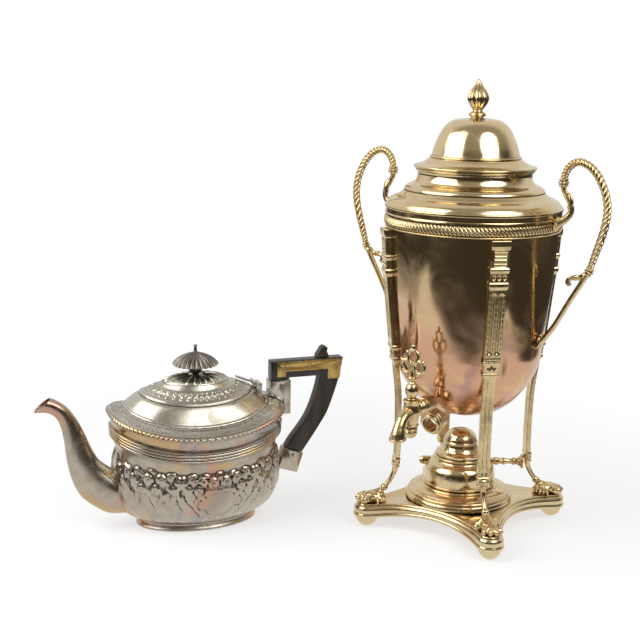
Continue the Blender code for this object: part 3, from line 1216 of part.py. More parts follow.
pot_nut_profile = [(stud_hole, pot_nut_top), (POT_NUT_RADIUS, pot_nut_top),
                   (POT_NUT_RADIUS, pot_nut_top - POT_NUT_HEIGHT),
                   (stud_hole, pot_nut_top - POT_NUT_HEIGHT)]
turned("teapot_finial_nut", pot_nut_profile, dark_silver, teapot_axis, steps=SMALL_STEPS, closed=True)

hinge_x = pot_lid_length + HINGE_OUT
hinge_z = pot_lid_base + POT_LID_END_LIFT + HINGE_UP
hinge_axis = empty("lid_hinge_axis", teapot_axis, (hinge_x, 0, hinge_z), SIDEWAYS)
hinge_length = 3 * HINGE_KNUCKLE_LENGTH + 2 * HINGE_KNUCKLE_GAP
cylinder("teapot_hinge_pin", HINGE_PIN_RADIUS, hinge_length, dark_silver, hinge_axis, (0, 0, 0))
pin_hole = make_cutter(cylinder("pin_hole", clear_radius(HINGE_PIN_RADIUS), 2 * hinge_length, None,
                                hinge_axis, (0, 0, 0)))


def knuckle(name, across):
    return cylinder(name, HINGE_BARREL_RADIUS, HINGE_KNUCKLE_LENGTH, silver, hinge_axis,
                    (0, 0, across))


lid_leaf = knuckle("teapot_hinge_lid_leaf", 0)
lid_edge = POT_LID_SHARES[0]
lid_step = POT_LID_SHARES[3]
strap_rise = atan2(
    lid_step[3] * POT_LID_HEIGHT - (lid_edge[4] - lid_step[4]) * POT_LID_END_LIFT,
    (lid_edge[0] - lid_step[0]) * pot_lid_length,
)
strap = box("hinge_strap", (HINGE_STRAP_LENGTH, HINGE_KNUCKLE_LENGTH, HINGE_STRAP_THICKNESS), silver,
            teapot_axis,
            (hinge_x - HINGE_STRAP_LENGTH / 2 * cos(strap_rise), 0,
             hinge_z + HINGE_STRAP_LENGTH / 2 * sin(strap_rise)), (0, strap_rise, 0))
joined(lid_leaf, strap)
lid_seat = loft("lid_seat", pot_lid_rings(SEAT_GAP), ("first", "last"), None, teapot_axis)
face_out(lid_seat.data)
cut(lid_leaf, make_cutter(lid_seat))
cut(lid_leaf, pin_hole)
body_leaf = knuckle("teapot_hinge_body_leaf", HINGE_KNUCKLE_LENGTH + HINGE_KNUCKLE_GAP)
other_knuckle = knuckle("far_knuckle", -HINGE_KNUCKLE_LENGTH - HINGE_KNUCKLE_GAP)
leaf_size = (HINGE_LEAF_LENGTH, hinge_length - 4 * HINGE_KNUCKLE_GAP, 2 * HINGE_LEAF_LENGTH)
leaf_plate = box("hinge_plate", leaf_size, silver, teapot_axis,
                 (hinge_x + HINGE_LEAF_LENGTH / 2 + HINGE_BARREL_RADIUS / 2, 0,
                  hinge_z - HINGE_LEAF_LENGTH))
joined(body_leaf, other_knuckle, leaf_plate)
room = cylinder("lid_knuckle_room", HINGE_BARREL_RADIUS + SEAT_GAP,
                HINGE_KNUCKLE_LENGTH + 2 * HINGE_KNUCKLE_GAP, None, hinge_axis, (0, 0, 0))
for tool in (make_cutter(room), pin_hole, teapot_seat):
    cut(body_leaf, tool)

# Teapot handle: an ebony grip between two silver sockets, with a brass plate screwed to its side

GRIP_OUTLINE_SHARES = [
    (0.5, 0.79), (0.5, 1.0), (1.0, 1.0), (0.975, 0.79), (0.935, 0.59), (0.892, 0.4), (0.787, 0.13),
    (0.717, -0.03), (0.603, 0.03), (0.645, 0.13), (0.75, 0.36), (0.804, 0.58), (0.838, 0.79),
    (0.82, 0.81), (0.64, 0.81), (0.622, 0.79),
]
grip_height = GRIP_TOP_Z - GRIP_BASE_Z
grip_reach = POT_LENGTH + GRIP_REACH
socket_inner = POT_LENGTH - SOCKET_INSET
socket_outer = socket_inner + SOCKET_WIDTH
grip_outline = [(x * grip_reach, GRIP_BASE_Z + z * grip_height) for x, z in GRIP_OUTLINE_SHARES]
grip_outline[0] = (socket_inner, SOCKET_TOP_Z + SEAT_GAP)
grip_outline[1] = (socket_inner, GRIP_TOP_Z)
grip_outline[-1] = (socket_outer, SOCKET_TOP_Z + SEAT_GAP)
grip = flat_outline("ebony_grip", grip_outline, GRIP_THICKNESS, ebony, teapot_axis)
rounding = grip.modifiers.new("rounding", "BEVEL")
rounding.width = GRIP_ROUNDING
rounding.segments = 1
rounding.limit_method = "ANGLE"
rounding.angle_limit = radians(60)

tenon_x = (socket_inner + socket_outer) / 2
tenon_width = socket_outer - socket_inner - 2 * TENON_WALL
tenon_depth = GRIP_THICKNESS - 2 * TENON_WALL
upper_tenon = box("upper_tenon", (tenon_width, tenon_depth, TENON_LENGTH + OVERRUN), ebony,
                  teapot_axis, (tenon_x, 0, SOCKET_TOP_Z - TENON_LENGTH + (TENON_LENGTH + OVERRUN) / 2))
low_a = Vector((grip_outline[7][0], 0, grip_outline[7][1]))
low_b = Vector((grip_outline[8][0], 0, grip_outline[8][1]))
low_middle = (low_a + low_b) / 2
low_slope = atan2(-(low_a.z - low_b.z), low_a.x - low_b.x)
low_axis = empty("lower_socket_axis", teapot_axis, low_middle, (0, low_slope, 0))
low_width = (low_a - low_b).length
lower_tenon = box("lower_tenon", (low_width - 2 * TENON_WALL, tenon_depth, TENON_LENGTH + OVERRUN),
                  ebony, low_axis, (0, 0, -TENON_LENGTH + (TENON_LENGTH + OVERRUN) / 2))
joined(grip, upper_tenon, lower_tenon)

socket_depth = GRIP_THICKNESS + 2 * SOCKET_PROUD
upper_socket_base = POT_RIM_Z
pocket_depth = tenon_depth + 2 * SEAT_GAP
pocket_length = 2 * (TENON_LENGTH + SEAT_GAP)
upper_size = (SOCKET_WIDTH + 2 * SOCKET_PROUD, socket_depth, SOCKET_TOP_Z - upper_socket_base)
upper_socket = box("upper_socket", upper_size, silver, teapot_axis,
                   (tenon_x, 0, (SOCKET_TOP_Z + upper_socket_base) / 2))
upper_pocket = box("upper_pocket", (tenon_width + 2 * SEAT_GAP, pocket_depth, pocket_length), None,
                   teapot_axis, (tenon_x, 0, SOCKET_TOP_Z))
cut(upper_socket, teapot_seat)
cut(upper_socket, make_cutter(upper_pocket))
lower_socket = box("lower_socket", (low_width + 2 * SOCKET_PROUD, socket_depth, LOWER_SOCKET_LENGTH),
                   silver, low_axis, (0, 0, -LOWER_SOCKET_LENGTH / 2 - SEAT_GAP))
lower_pocket_width = low_width - 2 * TENON_WALL + 2 * SEAT_GAP
lower_pocket = box("lower_pocket", (lower_pocket_width, pocket_depth, pocket_length), None, low_axis,
                   (0, 0, 0))
cut(lower_socket, teapot_seat)
cut(lower_socket, make_cutter(lower_pocket))

socket_pin_length = socket_depth - 2 * SEAT_GAP
PIN_STEPS = 8
for name, holder, spot, socket in (
    ("upper", teapot_axis, Vector((tenon_x, 0, SOCKET_TOP_Z - TENON_LENGTH / 2)), upper_socket),
    ("lower", low_axis, Vector((0, 0, -TENON_LENGTH / 2)), lower_socket),
):
    cylinder(name + "_socket_pin", SOCKET_PIN_RADIUS, socket_pin_length, dark_silver, holder, spot,
             SIDEWAYS, steps=PIN_STEPS)
    pin_room = make_cutter(cylinder(name + "_pin_hole", SOCKET_PIN_RADIUS + SEAT_GAP, 2 * socket_depth,
                                    None, holder, spot, SIDEWAYS, steps=PIN_STEPS))
    cut(socket, pin_room)
    cut(grip, pin_room)

plate_low = GRIP_TOP_Z - GRIP_PLATE_HEIGHT - SOCKET_PROUD
plate_left = socket_inner + TENON_WALL * 3
plate_right = grip_reach - TENON_WALL
plate_high = GRIP_TOP_Z - SOCKET_PROUD
PLATE_DROP_SHARE = 0.35
PLATE_TAPER_SHARE = 0.4
RIGHT_LEG_SHARE = 0.78
LEFT_LEG_SHARE = 0.132
plate_drop = GRIP_PLATE_HEIGHT * PLATE_DROP_SHARE
plate_length = plate_right - plate_left
right_leg = plate_left + RIGHT_LEG_SHARE * plate_length
left_leg = plate_left + LEFT_LEG_SHARE * plate_length
plate_outline_points = [
    (plate_left, plate_high), (plate_right, plate_high),
    (plate_right - plate_drop * PLATE_TAPER_SHARE, plate_low - plate_drop),
    (right_leg, plate_low - plate_drop), (right_leg, plate_low + plate_drop),
    (left_leg, plate_low + plate_drop), (left_leg, plate_low), (plate_left, plate_low),
]
plate_middle_y = -GRIP_THICKNESS / 2 - SEAT_GAP - GRIP_PLATE_THICKNESS / 2
grip_plate = flat_outline("handle_brass_plate", plate_outline_points, GRIP_PLATE_THICKNESS, brass,
                          teapot_axis, (0, plate_middle_y, 0))
screw_z = plate_high - plate_drop
plate_face_y = plate_middle_y - GRIP_PLATE_THICKNESS / 2
SCREW_PLACE_SHARES = (0.1, 0.5, 0.92)
SCREW_HEAD_SHARES = [(0.0, 0.5), (0.7, 0.35), (1.0, 0.0)]
for number, share in enumerate(SCREW_PLACE_SHARES):
    spot = Vector((plate_left + share * plate_length, plate_face_y - SEAT_GAP, screw_z))
    screw_profile = shared(SCREW_HEAD_SHARES, GRIP_SCREW_HEAD_RADIUS, GRIP_SCREW_HEAD_RADIUS)
    screw_profile += [(GRIP_SCREW_RADIUS, 0.0), (GRIP_SCREW_RADIUS, -GRIP_SCREW_LENGTH),
                      (0.0, -GRIP_SCREW_LENGTH)]
    turned("plate_screw_%d" % (number + 1), screw_profile, dark_brass, teapot_axis, spot, SIDEWAYS,
           steps=SMALL_STEPS)
    screw_hole = make_cutter(cylinder("plate_screw_hole_%d" % number, GRIP_SCREW_RADIUS + SEAT_GAP,
                                      2 * (GRIP_SCREW_LENGTH + SEAT_GAP), None, teapot_axis, spot,
                                      SIDEWAYS))
    cut(grip_plate, screw_hole)
    cut(grip, screw_hole)

THUMB_SHARES = [(-0.9, 0.0), (-0.75, 0.35), (-0.5, 0.6), (-0.35, 0.85), (-0.1, 1.0), (0.2, 0.95),
                (0.4, 0.75), (0.3, 0.5), (0.45, 0.25), (0.6, 0.0)]
THUMB_PLACE_SHARE = 0.87
THUMB_THICKNESS_SHARE = 0.7
thumb_x = grip_reach * THUMB_PLACE_SHARE
thumb_outline = shared(THUMB_SHARES, THUMB_REST_WIDTH, THUMB_REST_HEIGHT, GRIP_TOP_Z + SEAT_GAP)
flat_outline("thumb_rest", thumb_outline, GRIP_THICKNESS * THUMB_THICKNESS_SHARE, ebony, teapot_axis,
             (thumb_x, 0, 0))

# The middle of the set goes to the origin

bpy.context.view_layer.update()
graph = bpy.context.evaluated_depsgraph_get()
corners = [piece.matrix_world @ Vector(corner) for piece in parts.objects if piece.type == "MESH"
           for corner in piece.evaluated_get(graph).bound_box]
low = [min(corner[axis] for corner in corners) for axis in range(2)]
high = [max(corner[axis] for corner in corners) for axis in range(2)]
set_middle.location = (-(low[0] + high[0]) / 2, -(low[1] + high[1]) / 2, 0)
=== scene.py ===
from math import atan2, cos, pi, radians, sin, sqrt

import bpy
import numpy as np
from mathutils import Matrix, Vector


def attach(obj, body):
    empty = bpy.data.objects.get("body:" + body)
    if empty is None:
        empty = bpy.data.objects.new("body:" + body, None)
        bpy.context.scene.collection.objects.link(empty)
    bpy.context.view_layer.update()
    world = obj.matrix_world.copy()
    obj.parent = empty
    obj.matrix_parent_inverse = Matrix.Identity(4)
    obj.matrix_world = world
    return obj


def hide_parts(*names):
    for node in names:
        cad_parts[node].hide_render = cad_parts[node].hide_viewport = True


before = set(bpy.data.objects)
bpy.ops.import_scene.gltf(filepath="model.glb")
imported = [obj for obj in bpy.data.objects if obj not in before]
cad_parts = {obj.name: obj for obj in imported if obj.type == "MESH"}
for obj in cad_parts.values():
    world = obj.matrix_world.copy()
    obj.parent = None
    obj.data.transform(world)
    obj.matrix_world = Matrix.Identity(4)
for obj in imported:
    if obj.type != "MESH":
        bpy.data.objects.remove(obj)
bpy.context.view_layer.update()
mm = 0.001

# Viewpoint: the urn stands right of the middle and the camera looks level along +Y, tipped a
# little down, from just over a metre away.
urn_place = Matrix.Translation((154.2 * mm, 0, 0)) @ Matrix.Rotation(radians(-34.7), 4, "Z")
urn_axis = urn_place.to_translation()
camera_from_urn = Vector((-149, -1146, 460)) * mm
camera_down = radians(12.31)
camera_roll = radians(1.0)
bpy.ops.object.camera_add(location=urn_axis + camera_from_urn,
                          rotation=(pi / 2 - camera_down, 0, 0))
camera = bpy.context.object
camera.rotation_euler.rotate_axis("Z", camera_roll)
camera.data.lens = 65.6
camera.data.sensor_width = 36
bpy.context.scene.camera = camera


# Studio: a square softbox high on the left, a round one on the right and a pale table top that
# ends a little in front of the set, so that polished metal mirrors a white field with an edge. The
# table keeps the set's soft shadow and fades into the white backdrop farther out.
def add_node(tree, kind, inputs=(), **settings):
    """Add a shader node; inputs gives a socket its value, or the socket that feeds it."""
    made = tree.nodes.new(kind)
    for name, value in settings.items():
        setattr(made, name, value)
    for socket, value in dict(inputs).items():
        if isinstance(value, bpy.types.NodeSocket):
            tree.links.new(value, made.inputs[socket])
        else:
            made.inputs[socket].default_value = value
    return made


def sum_of(tree, operation, first, second):
    """The result of a sum on two values or sockets."""
    return add_node(tree, "ShaderNodeMath", {0: first, 1: second}, operation=operation).outputs[0]


def slope(tree, value, start, end, low=0.0, high=1.0):
    """Value carried from start..end to low..high, with soft ends."""
    made = add_node(tree, "ShaderNodeMapRange", {
        "Value": value, "From Min": start, "From Max": end, "To Min": low, "To Max": high,
    }, interpolation_type="SMOOTHSTEP")
    return made.outputs["Result"]


def blend(tree, amount, under, over):
    """The colour under, covered by the colour over where amount is 1."""
    made = add_node(tree, "ShaderNodeMixRGB", {"Fac": amount, "Color1": under, "Color2": over})
    return made.outputs["Color"]


def softbox(name, shape, side, direction, distance, watts, turn):
    """A softbox that faces the set from that direction."""
    aim = Vector(direction).normalized()
    middle = Vector((0, 0, 160 * mm))
    bpy.ops.object.light_add(type="AREA", location=middle + aim * distance)
    lamp = bpy.context.object
    lamp.name = name
    lamp.rotation_euler = aim.to_track_quat("Z", "Y").to_euler()
    lamp.rotation_euler.rotate_axis("Z", turn)
    lamp.data.shape = shape
    lamp.data.size = side
    lamp.data.energy = watts


softbox("left_softbox", "SQUARE", 0.9, (-0.733, -0.282, 0.616), 0.95, 8.0, radians(20))
softbox("right_softbox", "DISK", 0.62, (0.522, -0.558, 0.645), 0.95, 3.4, 0)

room = bpy.data.worlds.new("studio")
room.use_nodes = True
bpy.context.scene.world = room
tree = room.node_tree
tree.nodes.clear()
look = add_node(tree, "ShaderNodeTexCoord").outputs["Generated"]
ray = add_node(tree, "ShaderNodeLightPath").outputs
direction = add_node(tree, "ShaderNodeSeparateXYZ", {0: look}).outputs
ceiling = slope(tree, direction["Z"], 0.16, 0.62)
behind = slope(tree, direction["Y"], -0.1, 0.5)
room_colour = blend(tree, ceiling, (0.045, 0.036, 0.022, 1), (0.36, 0.34, 0.30, 1))
room_colour = blend(tree, behind, room_colour, (0.80, 0.79, 0.77, 1))
ambient = blend(tree, ray["Is Glossy Ray"], (0.62, 0.62, 0.62, 1), room_colour)
seen = sum_of(tree, "MAXIMUM", ray["Is Camera Ray"], ray["Is Transmission Ray"])
shown = blend(tree, seen, ambient, (1, 1, 1, 1))
backdrop = add_node(tree, "ShaderNodeBackground", {"Color": shown})
add_node(tree, "ShaderNodeOutputWorld", {"Surface": backdrop.outputs[0]})

bpy.ops.object.select_all(action="DESELECT")
bpy.ops.mesh.primitive_plane_add(size=12)
table = bpy.context.object
table.name = "table_top"
table.data.materials.append(bpy.data.materials.new("white_table"))
table.data.materials[0].use_nodes = True
tree = table.data.materials[0].node_tree
tree.nodes.clear()
ray = add_node(tree, "ShaderNodeLightPath").outputs
spot = add_node(tree, "ShaderNodeSeparateXYZ", {
    0: add_node(tree, "ShaderNodeTexCoord").outputs["Object"],
}).outputs
left_of_edge = slope(tree, spot["X"], urn_axis.x - 0.94, urn_axis.x - 0.90)
right_of_edge = slope(tree, spot["X"], urn_axis.x + 0.53, urn_axis.x + 0.49)
front_line = sum_of(tree, "ADD", spot["Y"], sum_of(tree, "MULTIPLY", spot["X"], 0.063))
behind_edge = slope(tree, front_line, -0.47, -0.43)
on_table = sum_of(tree, "MULTIPLY", behind_edge,
                  sum_of(tree, "MULTIPLY", left_of_edge, right_of_edge))
mirrored = blend(tree, on_table, (0.05, 0.042, 0.032, 1), (0.86, 0.85, 0.84, 1))
white = add_node(tree, "ShaderNodeBsdfDiffuse", {"Color": (0.86, 0.86, 0.86, 1)})
glow = add_node(tree, "ShaderNodeEmission", {"Color": (1, 1, 1, 1), "Strength": 1.0})
lit = add_node(tree, "ShaderNodeMixShader", {0: 0.62, 1: white.outputs[0], 2: glow.outputs[0]})
mirror_glow = add_node(tree, "ShaderNodeEmission", {"Color": mirrored})
middle_x = 0.02
shadow_reach = (0.26, 0.62)
apart_x = sum_of(tree, "SUBTRACT", spot["X"], middle_x)
apart = sum_of(tree, "ADD", sum_of(tree, "MULTIPLY", apart_x, apart_x),
               sum_of(tree, "MULTIPLY", spot["Y"], spot["Y"]))
far = slope(tree, sum_of(tree, "SQRT", apart, 0.0), *shadow_reach)
faded = add_node(tree, "ShaderNodeMixShader", {0: far, 1: lit.outputs[0], 2: glow.outputs[0]})
direct = sum_of(tree, "MAXIMUM", ray["Is Camera Ray"], ray["Is Diffuse Ray"])
surface = add_node(tree, "ShaderNodeMixShader", {
    0: direct, 1: mirror_glow.outputs[0], 2: faded.outputs[0],
})
add_node(tree, "ShaderNodeOutputMaterial", {"Surface": surface.outputs[0]})
bpy.context.scene.view_settings.view_transform = "Standard"


# Bowl: a tall bowl spun from brass sheet, open at the top, with a round bottom. The polish has
# thinned into copper pink and straw yellow clouds, most of all low down.
def make_group(name, inputs, outputs):
    """An empty shader node group with its sockets, its tree and its two end nodes."""
    group = bpy.data.node_groups.new(name, "ShaderNodeTree")
    for socket, value in inputs:
        made = group.interface.new_socket(socket, in_out="INPUT", socket_type="NodeSocketFloat")
        made.default_value = value
    for socket in outputs:
        group.interface.new_socket(socket, in_out="OUTPUT", socket_type="NodeSocketFloat")
    return group, group.nodes.new("NodeGroupInput"), group.nodes.new("NodeGroupOutput")


def noise(tree, size, detail=4.0, distortion=0.0, stretch=None):
    """Smooth noise from 0 to 1 on the object's own coordinates, size patches to the metre."""
    where = add_node(tree, "ShaderNodeTexCoord").outputs["Object"]
    if stretch:
        where = add_node(tree, "ShaderNodeMapping", {"Vector": where, "Scale": stretch}).outputs[0]
    made = add_node(tree, "ShaderNodeTexNoise", {
        "Vector": where, "Scale": size, "Detail": detail, "Distortion": distortion,
    })
    return made.outputs["Fac"]


patina, given, result = make_group("patina", [("Cloud Size", 14.0)],
                                   ["Cloud", "Film", "Specks", "Dents"])
cloud = slope(patina, noise(patina, given.outputs["Cloud Size"], 5.0, 0.6), 0.44, 0.66)
patina.links.new(cloud, result.inputs["Cloud"])
film_size = sum_of(patina, "MULTIPLY", given.outputs["Cloud Size"], 2.6)
patina.links.new(slope(patina, noise(patina, film_size, 6.0, 1.2), 0.38, 0.7),
                 result.inputs["Film"])
specks = slope(patina, noise(patina, 900.0, 2.0), 0.68, 0.76)
patches = slope(patina, noise(patina, 30.0, 3.0), 0.5, 0.62)
patina.links.new(sum_of(patina, "MULTIPLY", specks, patches), result.inputs["Specks"])
patina.links.new(noise(patina, 26.0, 2.0), result.inputs["Dents"])

# Relief group: pointiness finds recesses, whose darkening is painted shade, and ridges, worn back to
# clean metal.
wear_and_shade_group, given, result = make_group("relief_wear_and_shade", [("Depth", 1.0)], ["Hollow", "Ridge"])
sharpness = add_node(wear_and_shade_group, "ShaderNodeNewGeometry").outputs["Pointiness"]
raised = sum_of(wear_and_shade_group, "SUBTRACT", sharpness, 0.5)
scaled = sum_of(wear_and_shade_group, "MULTIPLY", raised, given.outputs["Depth"])
wear_and_shade_group.links.new(slope(wear_and_shade_group, scaled, -0.012, -0.09), result.inputs["Hollow"])
wear_and_shade_group.links.new(slope(wear_and_shade_group, scaled, 0.015, 0.09), result.inputs["Ridge"])


def polished(name, base, film, cloud_colour, speck_and_shade_colour, rough, cloud_size, hollow_shade_share=0.85,
             depth=1.0, tint=None):
    """A polished metal: film, tarnish clouds, dark specks, painted shade in recesses, worn bright
    ridges.
    """
    film_share = cloud_share = 0.5
    dent_share = 0.05
    made = bpy.data.materials.new(name)
    made.use_nodes = True
    tree = made.node_tree
    shader = tree.nodes["Principled BSDF"]
    shader.inputs["Metallic"].default_value = 1
    marks = add_node(tree, "ShaderNodeGroup", node_tree=patina)
    marks.inputs["Cloud Size"].default_value = cloud_size
    relief = add_node(tree, "ShaderNodeGroup", node_tree=wear_and_shade_group)
    relief.inputs["Depth"].default_value = depth
    colour = blend(tree, sum_of(tree, "MULTIPLY", marks.outputs["Film"], film_share), (*base, 1),
                   (*film, 1))
    colour = blend(tree, sum_of(tree, "MULTIPLY", marks.outputs["Cloud"], cloud_share), colour,
                   (*cloud_colour, 1))
    if tint:
        colour = tint(tree, colour)
    colour = blend(tree, sum_of(tree, "MULTIPLY", marks.outputs["Specks"], 0.55), colour,
                   (*speck_and_shade_colour, 1))
    colour = blend(tree, sum_of(tree, "MULTIPLY", relief.outputs["Ridge"], 0.35), colour,
                   (*base, 1))
    # Painted shade: recesses are darkened towards the dark colour, by the share given.
    colour = blend(tree, sum_of(tree, "MULTIPLY", relief.outputs["Hollow"], hollow_shade_share), colour,
                   (*speck_and_shade_colour, 1))
    tree.links.new(colour, shader.inputs["Base Color"])
    worn = sum_of(tree, "MULTIPLY", marks.outputs["Film"], 0.16)
    worn = sum_of(tree, "ADD", worn, sum_of(tree, "MULTIPLY", relief.outputs["Hollow"], 0.3))
    worn = sum_of(tree, "ADD", worn, sum_of(tree, "MULTIPLY", marks.outputs["Specks"], 0.3))
    tree.links.new(sum_of(tree, "ADD", worn, rough), shader.inputs["Roughness"])
    height = sum_of(tree, "ADD", marks.outputs["Dents"],
                    sum_of(tree, "MULTIPLY", marks.outputs["Film"], 0.06))
    bump = add_node(tree, "ShaderNodeBump", {"Height": height, "Strength": dent_share,
                                             "Distance": 1.2 * mm})
    tree.links.new(bump.outputs["Normal"], shader.inputs["Normal"])
    return made


def bowl_tint(tree, colour):
    """Copper pink below, with violet and straw clouds in it, and brown stains near the tap."""
    where = add_node(tree, "ShaderNodeTexCoord").outputs["Object"]
    height = add_node(tree, "ShaderNodeSeparateXYZ", {0: where}).outputs["Z"]
    wander = sum_of(tree, "MULTIPLY", noise(tree, 11.0, 3.0, 0.5), 0.16)
    low = slope(tree, sum_of(tree, "SUBTRACT", height, wander), 0.215, 0.09)
    colour = blend(tree, sum_of(tree, "MULTIPLY", low, 0.85), colour, (0.66, 0.36, 0.23, 1))
    violet = sum_of(tree, "MULTIPLY", slope(tree, noise(tree, 24.0, 5.0, 0.8), 0.52, 0.68), low)
    colour = blend(tree, sum_of(tree, "MULTIPLY", violet, 0.6), colour, (0.40, 0.24, 0.24, 1))
    straw = sum_of(tree, "MULTIPLY", slope(tree, noise(tree, 17.0, 4.0, 1.4), 0.56, 0.7), low)
    colour = blend(tree, sum_of(tree, "MULTIPLY", straw, 0.7), colour, (0.78, 0.55, 0.25, 1))
    streak = slope(tree, noise(tree, 60.0, 6.0, 0.4, (1, 1, 0.25)), 0.56, 0.74)
    stain_place = sum_of(tree, "MULTIPLY", slope(tree, noise(tree, 9.0, 2.0), 0.48, 0.6), low)
    return blend(tree, sum_of(tree, "MULTIPLY", streak, stain_place), colour, (0.20, 0.11, 0.06, 1))


gold = (0.74, 0.60, 0.36)
bowl_brass = polished("bowl_brass", gold, (0.60, 0.45, 0.25), (0.60, 0.40, 0.20),
                      (0.16, 0.10, 0.05),
                      0.10, 9.0, tint=bowl_tint)
sheet_brass = polished("sheet_brass", gold, (0.70, 0.52, 0.28), (0.62, 0.43, 0.22),
                       (0.15, 0.10, 0.05), 0.12, 20.0)
# The cast brass takes the strongest painted shade in its recesses: full share, deepened by the larger
# depth.
cast_brass = polished("cast_brass", (0.72, 0.57, 0.32), (0.55, 0.40, 0.20), (0.46, 0.33, 0.16),
                      (0.07, 0.045, 0.02), 0.17, 30.0, hollow_shade_share=1.0, depth=1.4)
aged_brass = polished("aged_brass", (0.50, 0.37, 0.20), (0.38, 0.27, 0.14), (0.30, 0.21, 0.11),
                      (0.06, 0.04, 0.02), 0.32, 40.0)


def select_only(piece):
    """Leave just this piece selected and active."""
    bpy.ops.object.select_all(action="DESELECT")
    piece.select_set(True)
    bpy.context.view_layer.objects.active = piece


def curve_through(points, steps=5):
    """A smooth run of points through the given ones."""
    points = [np.array(point, float) for point in points]
    points = [2 * points[0] - points[1]] + points + [2 * points[-1] - points[-2]]
    smooth = [points[1]]
    for a, b, c, d in zip(points, points[1:], points[2:], points[3:]):
        for step in range(1, steps + 1):
            t = step / steps
            smooth.append(0.5 * (2 * b + (c - a) * t + (2 * a - 5 * b + 4 * c - d) * t ** 2
                                 + (3 * b - a - 3 * c + d) * t ** 3))
    return smooth


def moulding(*runs):
    """One profile in metres from runs in millimetres: each run is smooth, with a crease between."""
    profile = []
    for run in runs:
        smooth = curve_through(run) if len(run) > 2 else run
        profile += smooth[1 if profile else 0:]
    return [(point[0] * mm, point[1] * mm) for point in profile]


def add_modifier(piece, kind, **settings):
    """Put a modifier on a piece and apply it."""
    select_only(piece)
    made = piece.modifiers.new(kind, kind)
    for name, value in settings.items():
        setattr(made, name, value)
    bpy.ops.object.modifier_apply(modifier=made.name)


def smooth_shade(piece, angle=40):
    """Shade smooth, but crisp where two faces meet at more than the angle."""
    select_only(piece)
    bpy.ops.object.shade_smooth_by_angle(angle=radians(angle))


def spun(name, profile, steps=96, wall=0, place=None):
    """Spin a profile of (radius, height) round the upright axis, and give it a wall inwards."""
    bpy.ops.object.select_all(action="DESELECT")
    bpy.ops.mesh.primitive_plane_add(size=mm)
    piece = bpy.context.object
    piece.name = name
    bpy.ops.object.mode_set(mode="EDIT")
    bpy.ops.mesh.select_all(action="SELECT")
    bpy.ops.mesh.merge(type="CENTER")
    bpy.ops.transform.translate(value=(profile[0][0], 0, profile[0][1]))
    for here, there in zip(profile, profile[1:]):
        step = (there[0] - here[0], 0, there[1] - here[1])
        bpy.ops.mesh.extrude_region_move(TRANSFORM_OT_translate={"value": step})
    bpy.ops.mesh.select_all(action="SELECT")
    bpy.ops.mesh.spin(steps=steps, angle=2 * pi, center=(0, 0, 0), axis=(0, 0, 1))
    bpy.ops.mesh.select_all(action="SELECT")
    bpy.ops.mesh.remove_doubles(threshold=0.01 * mm)
    bpy.ops.mesh.normals_make_consistent(inside=False)
    bpy.ops.object.mode_set(mode="OBJECT")
    if wall:
        add_modifier(piece, "SOLIDIFY", thickness=wall, offset=-1, use_even_offset=True)
    smooth_shade(piece)
    if place:
        set_down(piece, place)
    return piece


def set_down(piece, place):
    """Carry a piece from its own axis to its place, and leave its origin with the set's."""
    select_only(piece)
    piece.matrix_world = place
    bpy.ops.object.transform_apply(location=True, rotation=True, scale=True)


def fit(piece, finish, slot, body, *nodes):
    """Give a piece its finish, let it ride on its body and stand for its nodes."""
    piece.data.materials.clear()
    piece.data.materials.append(finish)
    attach(piece, body)
    if nodes:
        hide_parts(*nodes)


bowl_profile = moulding(
    [(83.9, 321.6), (83.9, 305), (83.1, 285), (81.5, 263), (79.4, 237), (75, 195), (73.2, 179),
     (70.4, 167), (65.3, 156), (58.4, 145.6), (48.5, 133.6), (37, 125), (24, 120.0), (10, 118),
     (0, 117.8)],
)
bowl = spun("bowl", bowl_profile, 128, 1.5 * mm, urn_place)
fit(bowl, bowl_brass, "urn_brass", "urn", "urn_bowl")


# Rope border: a cast ring round the bowl's mouth, a slanting rope between a plain band above and a
# thin double bead below, its grooves darkened almost black by painted shade.
def copy_of(piece, name, place):
    """A copy of a piece with its own mesh, carried to another place."""
    select_only(piece)
    bpy.ops.object.duplicate(linked=False)
    copy = bpy.context.object
    copy.name = name
    copy.data.name = name
    set_down(copy, place @ copy.matrix_world)
    return copy


def shell(name, rings, cap=None, wall=0, place=None, angle=40):
    """A skin through rings of points, all with as many points, capped at its first or last."""
    bpy.ops.object.select_all(action="DESELECT")
    bpy.ops.mesh.primitive_circle_add(vertices=len(rings[0]), radius=1)
    piece = bpy.context.object
    piece.name = name
    mesh = piece.data
    mesh.vertices.foreach_set("co", np.array(rings[0], float).ravel())
    for ring in rings[1:]:
        bpy.ops.object.mode_set(mode="EDIT")
        bpy.ops.mesh.extrude_region_move()
        bpy.ops.object.mode_set(mode="OBJECT")
        for vertex, point in zip(mesh.vertices[-len(ring):], ring):
            vertex.co = point
    bpy.ops.object.mode_set(mode="EDIT")
    if cap == "last":
        bpy.ops.mesh.edge_face_add()
    if cap == "first":
        bpy.ops.mesh.select_all(action="DESELECT")
        bpy.ops.object.mode_set(mode="OBJECT")
        for vertex in mesh.vertices[:len(rings[0])]:
            vertex.select = True
        bpy.ops.object.mode_set(mode="EDIT")
        bpy.ops.mesh.select_mode(type="VERT")
        bpy.ops.mesh.edge_face_add()
    bpy.ops.mesh.select_all(action="SELECT")
    bpy.ops.mesh.remove_doubles(threshold=0.005 * mm)
    bpy.ops.mesh.normals_make_consistent(inside=False)
    bpy.ops.object.mode_set(mode="OBJECT")
    if wall:
        add_modifier(piece, "SOLIDIFY", thickness=wall, offset=-1, use_even_offset=True)
    smooth_shade(piece, angle)
    if place:
        set_down(piece, place)
    return piece


